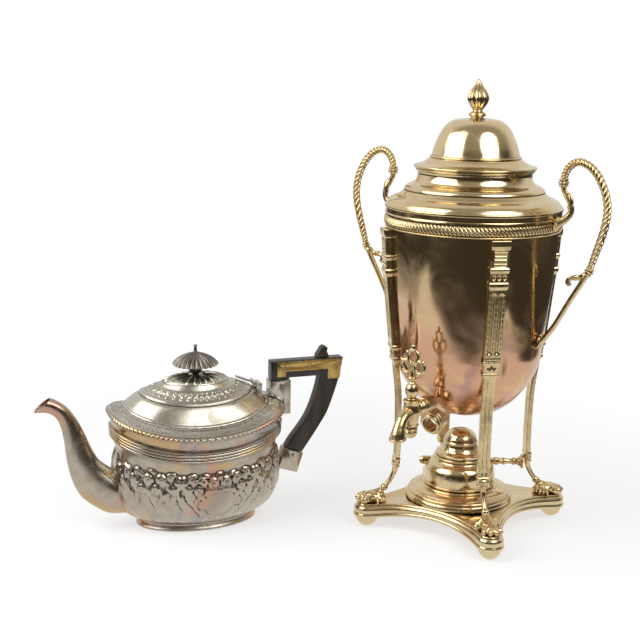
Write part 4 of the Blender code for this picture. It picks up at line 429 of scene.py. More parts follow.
rope_lobes = 140
rope_columns = rope_lobes * 8
rope_low = 308.6 * mm
rope_high = 318.4 * mm
rope_slant = 1.7
around = np.linspace(0, 2 * pi, rope_columns, endpoint=False)


def border_ring(radius, height, grooved):
    """One level of the border; grooved is how deep the rope's grooves cut there."""
    phase = rope_lobes / 2 * around + rope_slant * pi * (height - rope_low) / (rope_high - rope_low)
    depth = grooved * (1 - np.sqrt(np.abs(np.cos(phase))))
    reach = radius - depth
    return np.stack([reach * np.cos(around), reach * np.sin(around),
                     np.full_like(around, height)], 1)


border_rings = [border_ring(84.2 * mm, 306.8 * mm, 0)]
for radius, height in ((85.6, 306.8), (86.3, 307.1), (86.6, 307.6), (86.3, 308.1), (85.7, 308.5)):
    border_rings.append(border_ring(radius * mm, height * mm, 0))
for step in range(11):
    rise = step / 10
    height = rope_low + rise * (rope_high - rope_low)
    swell = sqrt(max(0, 1 - (2 * rise - 1) ** 2))
    border_rings.append(border_ring(85.0 * mm + 2.6 * mm * swell, height,
                                    1.7 * mm * min(1, swell * 1.5)))
for radius, height in ((85.9, 318.7), (86.5, 319.0), (86.6, 320.9), (86.2, 321.6), (84.2, 321.6)):
    border_rings.append(border_ring(radius * mm, height * mm, 0))
border = shell("border", border_rings + [border_rings[0]], place=urn_place)
fit(border, cast_brass, "urn_brass", "urn", "rope_border")


# Lid: spun from one brass sheet in steps, from a rolled rim over a wide shoulder and a waist
# groove to the dome. Its collar drops inside the bowl's mouth, so it lifts straight off.
lid_profile = moulding(
    [(2.5, 413.1), (6, 413.1), (11.3, 412.7), (17, 412.0), (23, 410.6), (29, 406.8), (33.6, 401.2),
     (37.4, 393.8), (40.8, 385.3), (43.0, 377.0)],
    [(43.0, 377.0), (44.3, 376.6), (44.8, 375.6), (44.2, 374.7)],
    [(44.2, 374.7), (46, 373.4), (48.6, 371.4), (53, 369.0), (57.3, 367.6)],
    [(57.3, 367.6), (59.2, 367.2), (59.9, 366.1), (59.1, 365.0), (57.4, 364.6)],
    [(57.4, 364.6), (58.3, 363.7), (57.7, 362.4), (56.2, 361.6)],
    [(56.2, 361.6), (55.6, 359), (56.2, 355.5), (58, 352), (60.5, 349.9)],
    [(60.5, 349.9), (64, 348.5), (67.2, 346.6), (68.7, 344.4), (68.8, 342.6)],
    [(68.8, 342.6), (70.4, 341.2), (72.4, 339.2), (74.5, 338.0)],
    [(74.5, 338.0), (78.8, 336.3), (82.6, 333.9), (84.9, 331.0), (85.7, 329.2)],
    [(85.7, 329.2), (87.0, 328.8), (87.3, 327.6), (87.0, 326.4), (86.2, 326.0)],
    [(86.2, 326.0), (86.2, 322.2)], [(86.2, 322.2), (81.7, 322.2)], [(81.7, 322.2), (81.7, 313.1)],
)
lid = spun("lid", lid_profile, 128, 1.2 * mm, urn_place)
fit(lid, sheet_brass, "urn_brass", "urn_lid", "urn_lid")


# Finial: a turned brass bud with upright flutes, on a disc and a short neck. Its stud goes down
# through the dome, and a nut holds it from inside.
finial_profile = moulding(
    [(0, 450), (1.2, 449.2), (2.4, 446.8), (4.6, 443.2), (8.2, 438.4), (10.2, 434.4),
     (10.55, 431.6),
     (9.6, 428), (7.4, 424.2), (5.2, 421.4)],
    [(5.2, 421.4), (4.7, 420.4), (5.0, 419.4)],
    [(5.0, 419.4), (7.4, 418.0), (8.3, 416.4), (8.0, 415.0)],
    [(8.0, 415.0), (6.6, 414.3), (6.4, 413.5)], [(6.4, 413.5), (2.2, 413.5)],
    [(2.2, 413.5), (2.2, 405.2)], [(2.2, 405.2), (0, 405.1)],
)
finial = spun("finial", finial_profile, 108)
bud_low = 421.5 * mm
bud_high = 448.5 * mm
for vertex in finial.data.vertices:
    rise = (vertex.co.z - bud_low) / (bud_high - bud_low)
    if 0 < rise < 1:
        flute = 0.13 * sin(pi * rise) ** 0.5 * (1 - abs(sin(4.5 * atan2(vertex.co.y, vertex.co.x))))
        vertex.co.x *= 1 - flute
        vertex.co.y *= 1 - flute
set_down(finial, urn_place)
fit(finial, cast_brass, "urn_brass", "urn_lid", "urn_lid_finial")


def keep(finish, *nodes):
    """Leave these solids as they are, and give them a finish."""
    for name in nodes:
        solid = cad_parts[name]
        solid.data.materials.clear()
        solid.data.materials.append(finish)


keep(aged_brass, "urn_lid_nut")


# Plate: a square cast plate with drawn-in sides, moulded along its edge, hollow underneath. It
# stands on four turned balls, which are screwed up through it into the paws.
plate_middle = 59.5 * mm
tongue_reach = 99.2 * mm
tongue_radius = 13.8 * mm


def plate_line(inset):
    """Points round the plate: four round tongues joined by hollow sides, drawn in by inset."""
    side = (plate_middle ** 2 + tongue_reach ** 2 - sqrt(2) * tongue_reach * plate_middle
            - tongue_radius ** 2) / (sqrt(2) * tongue_reach + 2 * tongue_radius - 2 * plate_middle)
    reach = plate_middle + side
    centre = Vector((tongue_reach * cos(pi / 4), tongue_reach * sin(pi / 4)))
    meet = atan2(centre.y, reach - centre.x)
    points = []
    for quarter in range(4):
        turn = Matrix.Rotation(quarter * pi / 2, 2)
        for step in range(20):
            angle = pi + meet - 2 * meet * step / 20
            arm = side + inset
            points.append(turn @ Vector((reach + arm * cos(angle), arm * sin(angle))))
        for step in range(18):
            angle = -meet + (pi / 2 + 2 * meet) * step / 18
            points.append(turn @ (centre + (tongue_radius - inset) * Vector((cos(angle), sin(angle)))))
    return points


def plate_ring(inset, drop):
    """The plate's outline at an inset and a drop from its top, lower and deeper at the tongues."""
    ring = []
    for point in plate_line(inset * mm):
        corner = min(1, max(0, (point.length - plate_middle) / (tongue_reach - plate_middle)))
        top = (27.4 - 2.7 * corner) * mm
        skirt = (10.4 + 3.0 * corner) * mm
        ring.append((point.x, point.y, top - drop * skirt))
    return ring


edge_steps = [(0.3, 1.0), (0.0, 0.93), (0.0, 0.82), (0.5, 0.76), (0.9, 0.72), (0.9, 0.62),
              (0.5, 0.55), (0.4, 0.44), (0.9, 0.32), (1.9, 0.2), (3.0, 0.14), (3.4, 0.14),
              (3.7, 0.05), (4.4, 0.0),
              (5.6, 0.0)]
plate_rings = [plate_ring(inset, drop) for inset, drop in edge_steps]
for share in (0.93, 0.8, 0.62, 0.4, 0.18):
    plate_rings.append([(share * x, share * y, z + (1 - share) * (27.4 * mm - z))
                        for x, y, z in plate_rings[len(edge_steps) - 1]])
plate = shell("plate", plate_rings, "last", 1.2 * mm, place=urn_place, angle=50)
fit(plate, sheet_brass, "urn_brass", "urn", "base_plate")

ball_profile = moulding([(2, 30.6), (2, 22.2)], [(2, 22.2), (5.5, 20.9), (9, 17.6), (11.1, 13.4),
                                                (11.3, 9.4), (9.8, 5), (6.6, 1.5), (3.5, 0)],
                        [(3.5, 0), (0, 0)])
ball_profile = [(0, 30.6 * mm)] + ball_profile
leg_names = ("front_right", "back_right", "back_left", "front_left")
leg_turns = [Matrix.Rotation(-pi / 4 + number * pi / 2, 4, "Z") for number in range(4)]
first_ball = spun("ball", ball_profile, 40)
for name, turn in zip(leg_names, leg_turns):
    ball = copy_of(first_ball, "ball_" + name,
                   urn_place @ turn @ Matrix.Translation((tongue_reach, 0, 0)))
    fit(ball, sheet_brass, "urn_brass", "urn", "ball_foot_" + name)
bpy.data.objects.remove(first_ball)


# Legs: four brass castings. Each has a framed cap on the bowl's border, a fluted pilaster down the
# bowl, a reeded shank, a knop, and a thin shin that ends in a lion's paw on the plate.
def leg_middle(height):
    """How far the middle of the leg stands out from the urn's axis at a height, in millimetres."""
    marks = [(33, 92), (36, 85.8), (41, 79.8), (50, 74.4), (62, 70.6), (72, 69.7), (90, 68.9),
             (138, 69.8), (171, 73.9), (194, 77.4), (260, 84.5), (306.3, 87.2)]
    return float(np.interp(height, [mark[0] for mark in marks], [mark[1] for mark in marks]))


def joined(first, *others):
    """Join pieces into the first one."""
    bpy.ops.object.select_all(action="DESELECT")
    for piece in others:
        piece.select_set(True)
    first.select_set(True)
    bpy.context.view_layer.objects.active = first
    bpy.ops.object.join()
    return first


def slice_up(low, high, count):
    """Cut the mesh in edit mode into that many level slices between two heights."""
    for cut in range(1, count):
        bpy.ops.mesh.select_all(action="SELECT")
        level = (low + (high - low) * cut / count) * mm
        bpy.ops.mesh.bisect(plane_co=(0, 0, level), plane_no=(0, 0, 1))


def leg_block(low, high, width, depth, edge=0.4, out=0.0, slices=1):
    """A bevelled block of the leg between two heights, leaning as the leg does there."""
    bpy.ops.object.select_all(action="DESELECT")
    bpy.ops.mesh.primitive_cube_add(size=mm, location=(0, 0, 0.5 * (low + high) * mm))
    block = bpy.context.object
    block.scale = (depth, width, high - low)
    bpy.ops.object.transform_apply(location=True, rotation=True, scale=True)
    bpy.ops.object.mode_set(mode="EDIT")
    bpy.ops.mesh.bevel(offset=edge * mm, segments=2, affect="EDGES")
    slice_up(low, high, slices)
    bpy.ops.object.mode_set(mode="OBJECT")
    for vertex in block.data.vertices:
        vertex.co.x += (leg_middle(vertex.co.z / mm) + out) * mm
    return block


def lump(place, size, turn=(0, 0, 0), fine=2):
    """A rounded lump at a place in millimetres, with half sizes, to be cast with others."""
    bpy.ops.object.select_all(action="DESELECT")
    bpy.ops.mesh.primitive_ico_sphere_add(subdivisions=fine, radius=mm, rotation=turn,
                                          location=Vector(place) * mm)
    made = bpy.context.object
    made.scale = size
    bpy.ops.object.transform_apply(location=True, rotation=True, scale=True)
    return made


def cut_with(piece, *cutters):
    """Cut pieces out of a piece, and throw them away."""
    for cutter in cutters:
        add_modifier(piece, "BOOLEAN", object=cutter, operation="DIFFERENCE", solver="EXACT")
        bpy.data.objects.remove(cutter)


def flute(low, high, across, radius):
    """A round-ended rod that lies along the front of the leg and cuts a flute into it."""
    rod = lump((0, across, 0), (radius, radius, radius), fine=3)
    for vertex in rod.data.vertices:
        rise = high - radius if vertex.co.z > 0 else low + radius
        vertex.co.z += rise * mm
    bpy.ops.object.mode_set(mode="EDIT")
    slice_up(low, high, 6)
    bpy.ops.object.mode_set(mode="OBJECT")
    return rod


def along_leg(rod, depth):
    """Push a rod out to the face of the leg, whose half depth is given."""
    for vertex in rod.data.vertices:
        vertex.co.x += (leg_middle(vertex.co.z / mm) + depth) * mm
    return rod


def cast(name, pieces, grain=0.55):
    """Fuse pieces into one casting with soft corners."""
    casting = joined(*pieces)
    casting.name = name
    add_modifier(casting, "REMESH", mode="VOXEL", voxel_size=grain * mm, use_smooth_shade=True)
    add_modifier(casting, "SMOOTH", factor=0.5, iterations=2)
    return casting


pilaster = leg_block(192.5, 260.6, 16.4, 6.2, 0.5, slices=4)
cut_with(pilaster, *[along_leg(flute(196, 256, across, 2.5), 4.0) for across in (3.7, -3.7)])
holed_block = leg_block(266, 276, 17.6, 6.6)
cut_with(holed_block, *[lump((leg_middle(271) + 3.8, across, 271), (2.2, 2.0, 2.6))
                        for across in (-5.2, 0, 5.2)])
panel = leg_block(279.6, 298.4, 17.6, 6.6)
cut_with(panel, leg_block(281.6, 296.4, 12.4, 3.0, 0.1, 3.4))
shank = leg_block(70.5, 172.5, 12.0, 4.9, 0.6, slices=8)
cut_with(shank, *[along_leg(flute(74, 169, across, 1.15), 2.9) for across in (2.0, -2.0)])
leg_parts = [pilaster, holed_block, panel, shank]
for number in range(4):
    low = 282.6 + 3.5 * number
    leg_parts.append(leg_block(low, low + 2.2, 12.8, 2.4, 0.4, 2.4))
for low, high, width, depth, out in (
    (298.2, 300.2, 18.6, 7.4, 0.2), (300.0, 306.3, 19.0, 8.4, 0.2), (276, 277.6, 18.6, 7.4, 0.2),
    (277.4, 280, 19.4, 8.2, 0.2), (261.8, 266.2, 19.2, 8.2, 0.1), (260.2, 262, 17.8, 7.2, 0),
    (186.2, 189.4, 18.0, 7.6, 0.2), (189.2, 192.8, 16.6, 6.6, 0), (177, 186.4, 15.0, 6.0, 0),
    (173.2, 177.2, 16.6, 7.2, 0.2), (171.8, 173.6, 14.0, 6.0, 0), (69.2, 71.2, 13.2, 6.6, 0),
    (61.8, 63.6, 12.6, 6.6, 0),
):
    leg_parts.append(leg_block(low, high, width, depth, 0.6, out))
for across, rise, turn in ((0, 182.4, 0), (2.6, 180.6, -0.7), (-2.6, 180.6, 0.7)):
    leg_parts.append(lump((leg_middle(rise) + 3.0, across, rise), (1.0, 1.3, 3.0), (turn, 0, 0)))
leg_parts.append(lump((leg_middle(66.4), 0, 66.4), (4.4, 7.2, 3.8), fine=3))

bpy.ops.object.select_all(action="DESELECT")
bpy.ops.curve.primitive_bezier_curve_add()
shin = bpy.context.object
shin_knots = [(70.4, 63, 3.4), (71.6, 56, 2.7), (74.4, 49.5, 2.5), (79.0, 42.6, 2.4),
              (84.0, 37.4, 2.8), (90, 33.6, 4.2)]
shin.data.splines[0].bezier_points.add(len(shin_knots) - 2)
for knot, (reach, height, width) in zip(shin.data.splines[0].bezier_points, shin_knots):
    knot.co = Vector((reach, 0, height)) * mm
    knot.radius = width
    knot.handle_left_type = knot.handle_right_type = "AUTO"
shin.data.bevel_depth = mm
shin.data.bevel_resolution = 5
shin.data.use_fill_caps = True
bpy.ops.object.convert(target="MESH")
leg_parts.append(shin)
leg_parts.append(lump((81.6, 0, 39.6), (4.0, 4.2, 3.6), fine=3))
leg_parts.append(lump((93.0, 0, 31.2), (9.5, 8.6, 5.2), fine=3))
leg_parts.append(lump((100.5, 0, 29.0), (7.5, 9.6, 4.2), fine=3))
for across, reach, splay in ((-7.8, 103.0, -0.25), (-2.7, 106.2, -0.08), (2.7, 106.2, 0.08),
                             (7.8, 103.0, 0.25)):
    leg_parts.append(lump((reach, across, 28.8), (5.2, 2.6, 3.6), (0, 0, splay), 3))
    leg_parts.append(lump((reach - 2.2, across * 0.96, 31.4), (2.6, 2.1, 2.2), (0, 0.3, splay), 3))
for number in range(9):
    angle = radians(100 + number * 20)
    tuft = (92.5 + 9.0 * cos(angle), 10.0 * sin(angle), 28.6 + 1.2 * (number % 2))
    leg_parts.append(lump(tuft, (4.8, 1.6, 3.0), (0, 0.4, angle)))
    tuft = (89.0 + 5.4 * cos(angle), 6.0 * sin(angle), 33.4)
    leg_parts.append(lump(tuft, (3.6, 1.3, 2.0), (0, 0.8, angle)))
first_leg = cast("leg", leg_parts, 0.6)
sole_height = 25.1 * mm
block_size = 0.2
bpy.ops.object.select_all(action="DESELECT")
bpy.ops.mesh.primitive_cube_add(size=block_size, location=(0.09, 0, sole_height - block_size / 2))
cut_with(first_leg, bpy.context.object)
for name, turn in zip(leg_names, leg_turns):
    leg = copy_of(first_leg, "casting_" + name, urn_place @ turn)
    smooth_shade(leg, 60)
    fit(leg, cast_brass, "cast_brass", "urn", "leg_" + name)
bpy.data.objects.remove(first_leg)


# Handles: two brass castings. An S-shaped bracket rises off the lid's rim to a collar, a rope
# twisted arch goes over to an acanthus curl, and a plain stem comes back to a leaf on the bowl.
def section(lobes, depth, flat=1.0):
    """A closed outline of radius one, with lobes as in a rope, to be swept along a bar."""
    bpy.ops.object.select_all(action="DESELECT")
    bpy.ops.mesh.primitive_circle_add(vertices=32, radius=1)
    outline = bpy.context.object
    for vertex in outline.data.vertices:
        angle = atan2(vertex.co.y, vertex.co.x)
        reach = 1 - depth * (1 - abs(cos(0.5 * lobes * angle)) ** 0.7)
        vertex.co = (flat * reach * cos(angle), reach * sin(angle), 0)
    bpy.ops.object.convert(target="CURVE")
    return bpy.context.object


def bar(name, knots, outline, turns=0.0, fineness=10):
    """Sweep an outline along knots of (x, y, z, radius) in millimetres, with turns of twist."""
    bpy.ops.object.select_all(action="DESELECT")
    bpy.ops.curve.primitive_bezier_curve_add()
    made = bpy.context.object
    made.name = name
    points = made.data.splines[0].bezier_points
    points.add(len(knots) - 2)
    for number, (point, knot) in enumerate(zip(points, knots)):
        point.co = Vector(knot[:3]) * mm
        point.handle_left_type = point.handle_right_type = "AUTO"
        point.radius = knot[3] * mm
        point.tilt = 2 * pi * turns * number / (len(knots) - 1)
    made.data.resolution_u = fineness
    made.data.twist_mode = "MINIMUM"
    made.data.bevel_mode = "OBJECT"
    made.data.bevel_object = outline
    made.data.use_fill_caps = True
    bpy.ops.object.convert(target="MESH")
    bpy.ops.object.mode_set(mode="EDIT")
    bpy.ops.mesh.select_all(action="SELECT")
    bpy.ops.mesh.remove_doubles(threshold=0.005 * mm)
    bpy.ops.mesh.normals_make_consistent(inside=False)
    bpy.ops.object.mode_set(mode="OBJECT")
    smooth_shade(made, 50)
    return made


def upright(route):
    """Knots in the handle's plane from (reach, height, radius)."""
    return [(reach, 0, height, radius) for reach, height, radius in route]


round_bar = section(1, 0)
strap = section(1, 0, 0.62)
rope = section(4, 0.3)
bracket = bar("bracket", upright([
    (84.5, 314, 4.6), (91, 319, 4.2), (97, 323, 3.6), (101.8, 330, 3.1), (101, 338, 2.9),
    (96, 346, 2.7), (93.4, 352, 2.8), (93.2, 358, 3.0),
]), strap)
arch = bar("arch", upright([
    (93.3, 359, 3.2), (94.6, 366, 3.5), (99, 373, 3.7), (106, 376.8, 3.8), (115, 375, 3.8),
    (123, 369, 3.8), (129.6, 360, 3.8), (135, 348, 3.8), (137.4, 335, 3.8), (136.7, 323, 3.8),
    (132.8, 306, 3.7), (129, 294, 3.5), (126, 284, 3.2), (124, 277, 2.9),
]), rope, 8.0, 14)
stem = bar("stem", upright([
    (124, 277, 2.7), (119, 268, 2.7), (114, 259, 2.6), (107, 247, 2.5), (99.8, 233.5, 2.5),
    (92.5, 220, 2.5), (85, 209, 2.8), (79.5, 202, 3.2),
]), round_bar)
curl = bar("curl", upright([
    (122.5, 274, 2.2), (118.5, 270.6, 2.7), (112, 268.6, 2.5), (106.5, 267.6, 2.2),
    (103.4, 265.2, 2.3), (103.8, 262.2, 2.4), (106.4, 262.0, 2.0),
]), strap)
rim_leaf = bar("rim_leaf", upright([(100.6, 333, 2.6), (101.2, 339, 2.9), (100.2, 344, 2.3),
                                    (97.6, 347.6, 1.2)]), strap)
handle_parts = [bracket, curl, rim_leaf]
for height, size in ((354.4, (4.4, 6.4, 1.5)), (357.2, (5.0, 7.2, 1.9)), (360.0, (4.2, 6.0, 1.4))):
    handle_parts.append(lump((93.2, 0, height), size, fine=3))
for reach, height, size in ((124.6, 278.4, 4.2), (123.4, 275.8, 4.8), (122.0, 273.2, 4.0)):
    handle_parts.append(lump((reach, 0, height), (size, size, 1.3), (0, 0.45, 0), 3))
for across, rise in ((-5.2, 315.0), (-2.8, 318.4), (0, 320.2), (2.8, 318.4), (5.2, 315.0)):
    handle_parts.append(lump((88.4, across, rise), (1.7, 1.5, 5.0), (-0.12 * across, 0.35, 0)))
for reach, across, rise in ((77.6, -4.2, 200.6), (78.2, -2.2, 203.0), (78.6, 0, 200.6),
                            (78.2, 2.2, 203.0), (77.6, 4.2, 200.6)):
    leaf_size = (2.2, 1.3, 8.2 - 0.5 * abs(across))
    handle_parts.append(lump((reach, across, rise), leaf_size, (0.05 * across, 0.16, 0)))
for side in (-1, 1):
    handle_parts.append(lump((118.0, side * 2.4, 271.4), (3.6, 1.2, 2.4), (0, -0.4, side * 0.4)))
    handle_parts.append(lump((110.0, side * 2.0, 269.4), (3.2, 1.0, 1.8), (0, 0.2, -side * 0.4)))
first_handle = cast("handle", handle_parts, 0.5)
first_handle = joined(first_handle, arch, stem)
handle_turns = (("right", Matrix.Identity(4)), ("left", Matrix.Rotation(pi, 4, "Z")))
for side, turn in handle_turns:
    handle = copy_of(first_handle, "handle_" + side, urn_place @ turn)
    fit(handle, cast_brass, "cast_brass", "urn", "urn_handle_" + side)
bpy.data.objects.remove(first_handle)


# Tap: a brass barrel through the bowl, on a ringed back plate. Its tapered plug turns in an
# upright housing, with an acorn nut below and an openwork trefoil key above.
tap_height = 143 * mm
plug_reach = 108 * mm
outwards = Matrix.Translation((0, 0, tap_height)) @ Matrix.Rotation(pi / 2, 4, "X")
barrel = spun("barrel", moulding(
    [(0, 99), (4.6, 99)], [(4.6, 99), (6.4, 98.6), (7.2, 97.2), (6.2, 95.8)],
    [(6.2, 95.8), (7.5, 94.4), (8.2, 92), (7.6, 89.6)],
    [(7.6, 89.6), (8.6, 88.8), (8.6, 87.2), (7.6, 86.6)],
    [(7.6, 86.6), (8.3, 82), (8.5, 77), (8.0, 72)], [(8.0, 72), (4.6, 72)], [(4.6, 72), (4.6, 40)],
    [(4.6, 40), (0, 40)],
), 48, place=outwards)
ring_lean = pi / 2 + 0.27
ring_place = Matrix.Translation((0, 6.0 * mm, 141.4 * mm)) @ Matrix.Rotation(ring_lean, 4, "X")
rings = spun("rings", moulding(
    [(7.6, 80.2), (9.4, 80), (10.2, 78.9), (9.9, 77.8)],
    [(9.9, 77.8), (11.6, 77.6), (12.2, 76.6), (11.8, 75.6)],
    [(11.8, 75.6), (12.9, 75.2), (13.3, 74), (12.6, 72.4)], [(12.6, 72.4), (12.2, 66.5)],
    [(12.2, 66.5), (7.0, 66.5)], [(7.0, 66.5), (7.6, 80.2)],
), 64, place=urn_place @ ring_place)
fit(rings, cast_brass, "cast_brass", "urn", "tap_escutcheon")
housing = spun("housing", moulding(
    [(5.2, 154.2), (7.4, 154.2), (8.4, 153.4), (7.6, 152.4)],
    [(7.6, 152.4), (7.3, 149), (8.0, 145), (8.3, 142), (7.9, 138), (7.0, 134), (6.7, 130.8)],
    [(6.7, 130.8), (7.6, 130.2), (7.4, 129), (6.4, 128.4)], [(6.4, 128.4), (4.8, 128.4)],
    [(4.8, 128.4), (5.2, 154.2)],
), 48, place=Matrix.Translation((0, -plug_reach, 0)))
nozzle = bar("nozzle", [
    (0, -111, 141.6, 6.4), (0, -116.5, 141.4, 6.0), (0, -122, 139.4, 5.6), (0, -126.6, 135.4, 5.5),
    (0, -129.4, 130.4, 5.9), (0, -130.8, 125.6, 6.9), (0, -131.4, 121.4, 7.5),
], round_bar)
mouth = bar("mouth", [(0, -129.6, 130.4, 3.0), (0, -130.9, 125.6, 4.6), (0, -131.5, 120.6, 6.2)],
            round_bar)
cut_with(nozzle, mouth)
lip_line = moulding([(6.2, 1.3), (7.7, 1.2), (8.3, 0), (7.7, -1.2), (6.2, -1.3), (6.2, 1.3)])
lip = spun("lip", lip_line, 40,
           place=Matrix.Translation((0, -131.4 * mm, 121.6 * mm)) @ Matrix.Rotation(0.12, 4, "X"))
tap_body = joined(barrel, housing, nozzle, lip)
tap_body.name = "tap_body"
set_down(tap_body, urn_place)
smooth_shade(tap_body)
fit(tap_body, cast_brass, "cast_brass", "urn", "tap_barrel")

tap_axis = urn_place @ Matrix.Translation((0, -plug_reach, 0))
acorn = spun("acorn", moulding(
    [(2.6, 126.2), (5.6, 126.2), (6.5, 125.3), (5.9, 124.2)],
    [(5.9, 124.2), (6.4, 122.6), (6.0, 120.4), (4.4, 118.2), (2.2, 116.8), (0, 116.3)],
), 40, place=tap_axis)
fit(acorn, cast_brass, "cast_brass", "tap_turning_parts", "tap_nut")
key_stem = spun("key_stem", moulding(
    [(0, 177), (2.6, 177)], [(2.6, 177), (3.9, 175.8), (3.9, 174.6), (2.5, 173.8)],
    [(2.5, 173.8), (2.3, 172), (3.0, 170.3)],
    [(3.0, 170.3), (5.0, 168.6), (6.3, 165), (6.3, 161.6), (5.0, 158), (3.6, 156.4)],
    [(3.6, 156.4), (5.0, 155.8), (5.2, 154.9), (4.6, 154.4)], [(4.6, 154.4), (3.1, 154.4)],
    [(3.1, 154.4), (3.1, 160.2)], [(3.1, 160.2), (0, 160.2)],
), 40)
key_parts = []
for middle, rise, radius, wide in ((-7.2, 186.0, 5.2, 1.15), (7.2, 186.0, 5.2, 1.15),
                                   (0, 195.6, 5.0, 1.3)):
    loop = []
    for angle in range(-90, 271, 30):
        aside = middle + radius * cos(radians(angle))
        loop.append((aside, 0, rise + radius * wide * sin(radians(angle)), 1.7))
    key_parts.append(bar("loop", loop, round_bar, fineness=6))
key_parts.append(bar("spray", upright([(0, 175, 2.4), (0, 181, 1.7), (0, 187, 1.6), (0, 191, 1.8)]),
                     round_bar))
for across, rise, size, turn in (
    (0, 204.6, (2.2, 1.6, 3.2), 0), (-5.4, 199.4, (1.5, 1.4, 3.0), -0.9),
    (5.4, 199.4, (1.5, 1.4, 3.0), 0.9), (-11.2, 191.4, (1.4, 1.4, 3.2), -0.8),
    (11.2, 191.4, (1.4, 1.4, 3.2), 0.8), (-12.4, 184.6, (1.5, 1.4, 3.0), -1.9),
    (12.4, 184.6, (1.5, 1.4, 3.0), 1.9), (-5.6, 178.4, (1.6, 1.4, 3.4), -1.0),
    (5.6, 178.4, (1.6, 1.4, 3.4), 1.0), (-3.4, 190.6, (1.5, 1.5, 2.8), -0.5),
    (3.4, 190.6, (1.5, 1.5, 2.8), 0.5), (0, 185.5, (2.0, 1.8, 2.0), 0),
):
    key_parts.append(lump((across, 0, rise), size, (0, turn, 0)))
key = cast("key", key_parts, 0.4)
key = joined(key, key_stem)
set_down(key, tap_axis)
fit(key, cast_brass, "cast_brass", "tap_turning_parts", "tap_key")
keep(aged_brass, "tap_plug", "tap_washer", "tap_back_flange")


# Burner: a spun dish bolted to the plate carries the bulged spirit reservoir. A spindle with a
# trumpet end winds the wick, and a bell-shaped cap over it puts the flame out.
burner_x = 152.0 * mm
plate_top = 27.8 * mm
burner_place = Matrix.Translation((burner_x, 0, plate_top))
stand = spun("stand", moulding(
    [(2.8, 13.7), (30, 13.7), (36.5, 13.6)], [(36.5, 13.6), (38, 13.2), (38.6, 12.2)],
    [(38.6, 12.2), (42.5, 11.6), (46.4, 9.8), (48.4, 8.2)],
    [(48.4, 8.2), (50.6, 8.0), (51.8, 6.8), (51.4, 5.6)],
    [(51.4, 5.6), (53.2, 4.6), (54.3, 2.2), (54.5, 0)],
), 96, 1.0 * mm, burner_place)
fit(stand, sheet_brass, "urn_brass", "urn", "burner_stand")
reservoir = spun("reservoir", moulding(
    [(12.5, 44.4), (15.4, 44.4), (20, 44.2)],
    [(20, 44.2), (24.8, 43.9), (26.6, 43.3), (27.0, 42.2), (26.2, 41.2)],
    [(26.2, 41.2), (26.6, 39.6), (28.2, 38.0)],
    [(28.2, 38.0), (31.6, 36.4), (34.2, 33.4), (35.6, 29.6), (36.4, 24.6), (36.5, 20.6),
     (36.2, 17.2)],
    [(36.2, 17.2), (36.9, 16.6), (36.9, 15.4), (36.0, 14.4)], [(36.0, 14.4), (35.2, 14.0)],
    [(35.2, 14.0), (2.8, 14.0)],
), 96, 1.0 * mm, burner_place)
fit(reservoir, sheet_brass, "urn_brass", "urn", "spirit_reservoir")
bell_profile = moulding(
    [(0, 71.6), (4, 71.4), (8.6, 70.2), (12.6, 67.6), (15.4, 63.6), (17.0, 58.8)],
    [(17.0, 58.8), (17.6, 58.2), (17.6, 57.2), (17.0, 56.6)],
    [(17.0, 56.6), (18.2, 52.8), (20.4, 49.6), (23.0, 47.6)],
    [(23.0, 47.6), (24.6, 47.3), (25, 46.4), (24.8, 44.7)],
)
bell = spun("bell", bell_profile, 96, 0.9 * mm, burner_place)
bpy.ops.object.select_all(action="DESELECT")
bpy.ops.mesh.primitive_cube_add(size=mm, location=(burner_x, 0, plate_top + 72 * mm))
slot_cutter = bpy.context.object
slot_cutter.scale = (9.0, 2.0, 4.0)
slot_cutter.rotation_euler.z = radians(-12)
bpy.ops.object.transform_apply(location=True, rotation=True, scale=True)
cut_with(bell, slot_cutter)
smooth_shade(bell)
fit(bell, sheet_brass, "urn_brass", "snuffer", "snuffer_cap")

spindle_middle = Vector((burner_x, 7.6 * mm, 61.8 * mm))
along_x = Matrix.Translation(spindle_middle) @ Matrix.Rotation(pi / 2, 4, "Y")
spindle = spun("spindle", moulding(
    [(0, 64.6), (3.4, 64.8), (6.8, 66.0)], [(6.8, 66.0), (7.7, 65.6), (7.5, 64.6)],
    [(7.5, 64.6), (5.6, 63.4), (3.8, 61.0), (2.9, 58)],
    [(2.9, 58), (3.9, 57.4), (4.0, 56.2), (3.0, 55.6)], [(3.0, 55.6), (2.6, 52), (3.0, 48)],
    [(3.0, 48), (3.8, 47.2), (3.8, 45.8), (3.0, 45)], [(3.0, 45), (2.9, 41.3)],
    [(2.9, 41.3), (1.5, 41.3)], [(1.5, 41.3), (1.5, 1.6)], [(1.5, 1.6), (2.9, 1.6)],
    [(2.9, 1.6), (2.9, -1.6)], [(2.9, -1.6), (1.5, -1.6)], [(1.5, -1.6), (1.5, -38.7)],
    [(1.5, -38.7), (0, -38.7)],
), 48, place=along_x)
pinion_teeth = 12
for vertex in spindle.data.vertices:
    reach = vertex.co.x - burner_x
    across = vertex.co.yz - spindle_middle.yz
    if abs(reach) < 1.7 * mm and across.length > 2.5 * mm:
        vertex.co.yz -= across * 0.16 * (1 + cos(pinion_teeth * atan2(across.y, across.x))) / 2
fit(spindle, cast_brass, "cast_brass", "spindle", "wick_spindle")
keep(aged_brass, "wick_tube", "burner_bolt", "burner_nut")
keep(sheet_brass, "burner_collar")
keep(cast_brass, "spindle_gland", "spindle_end_cap")

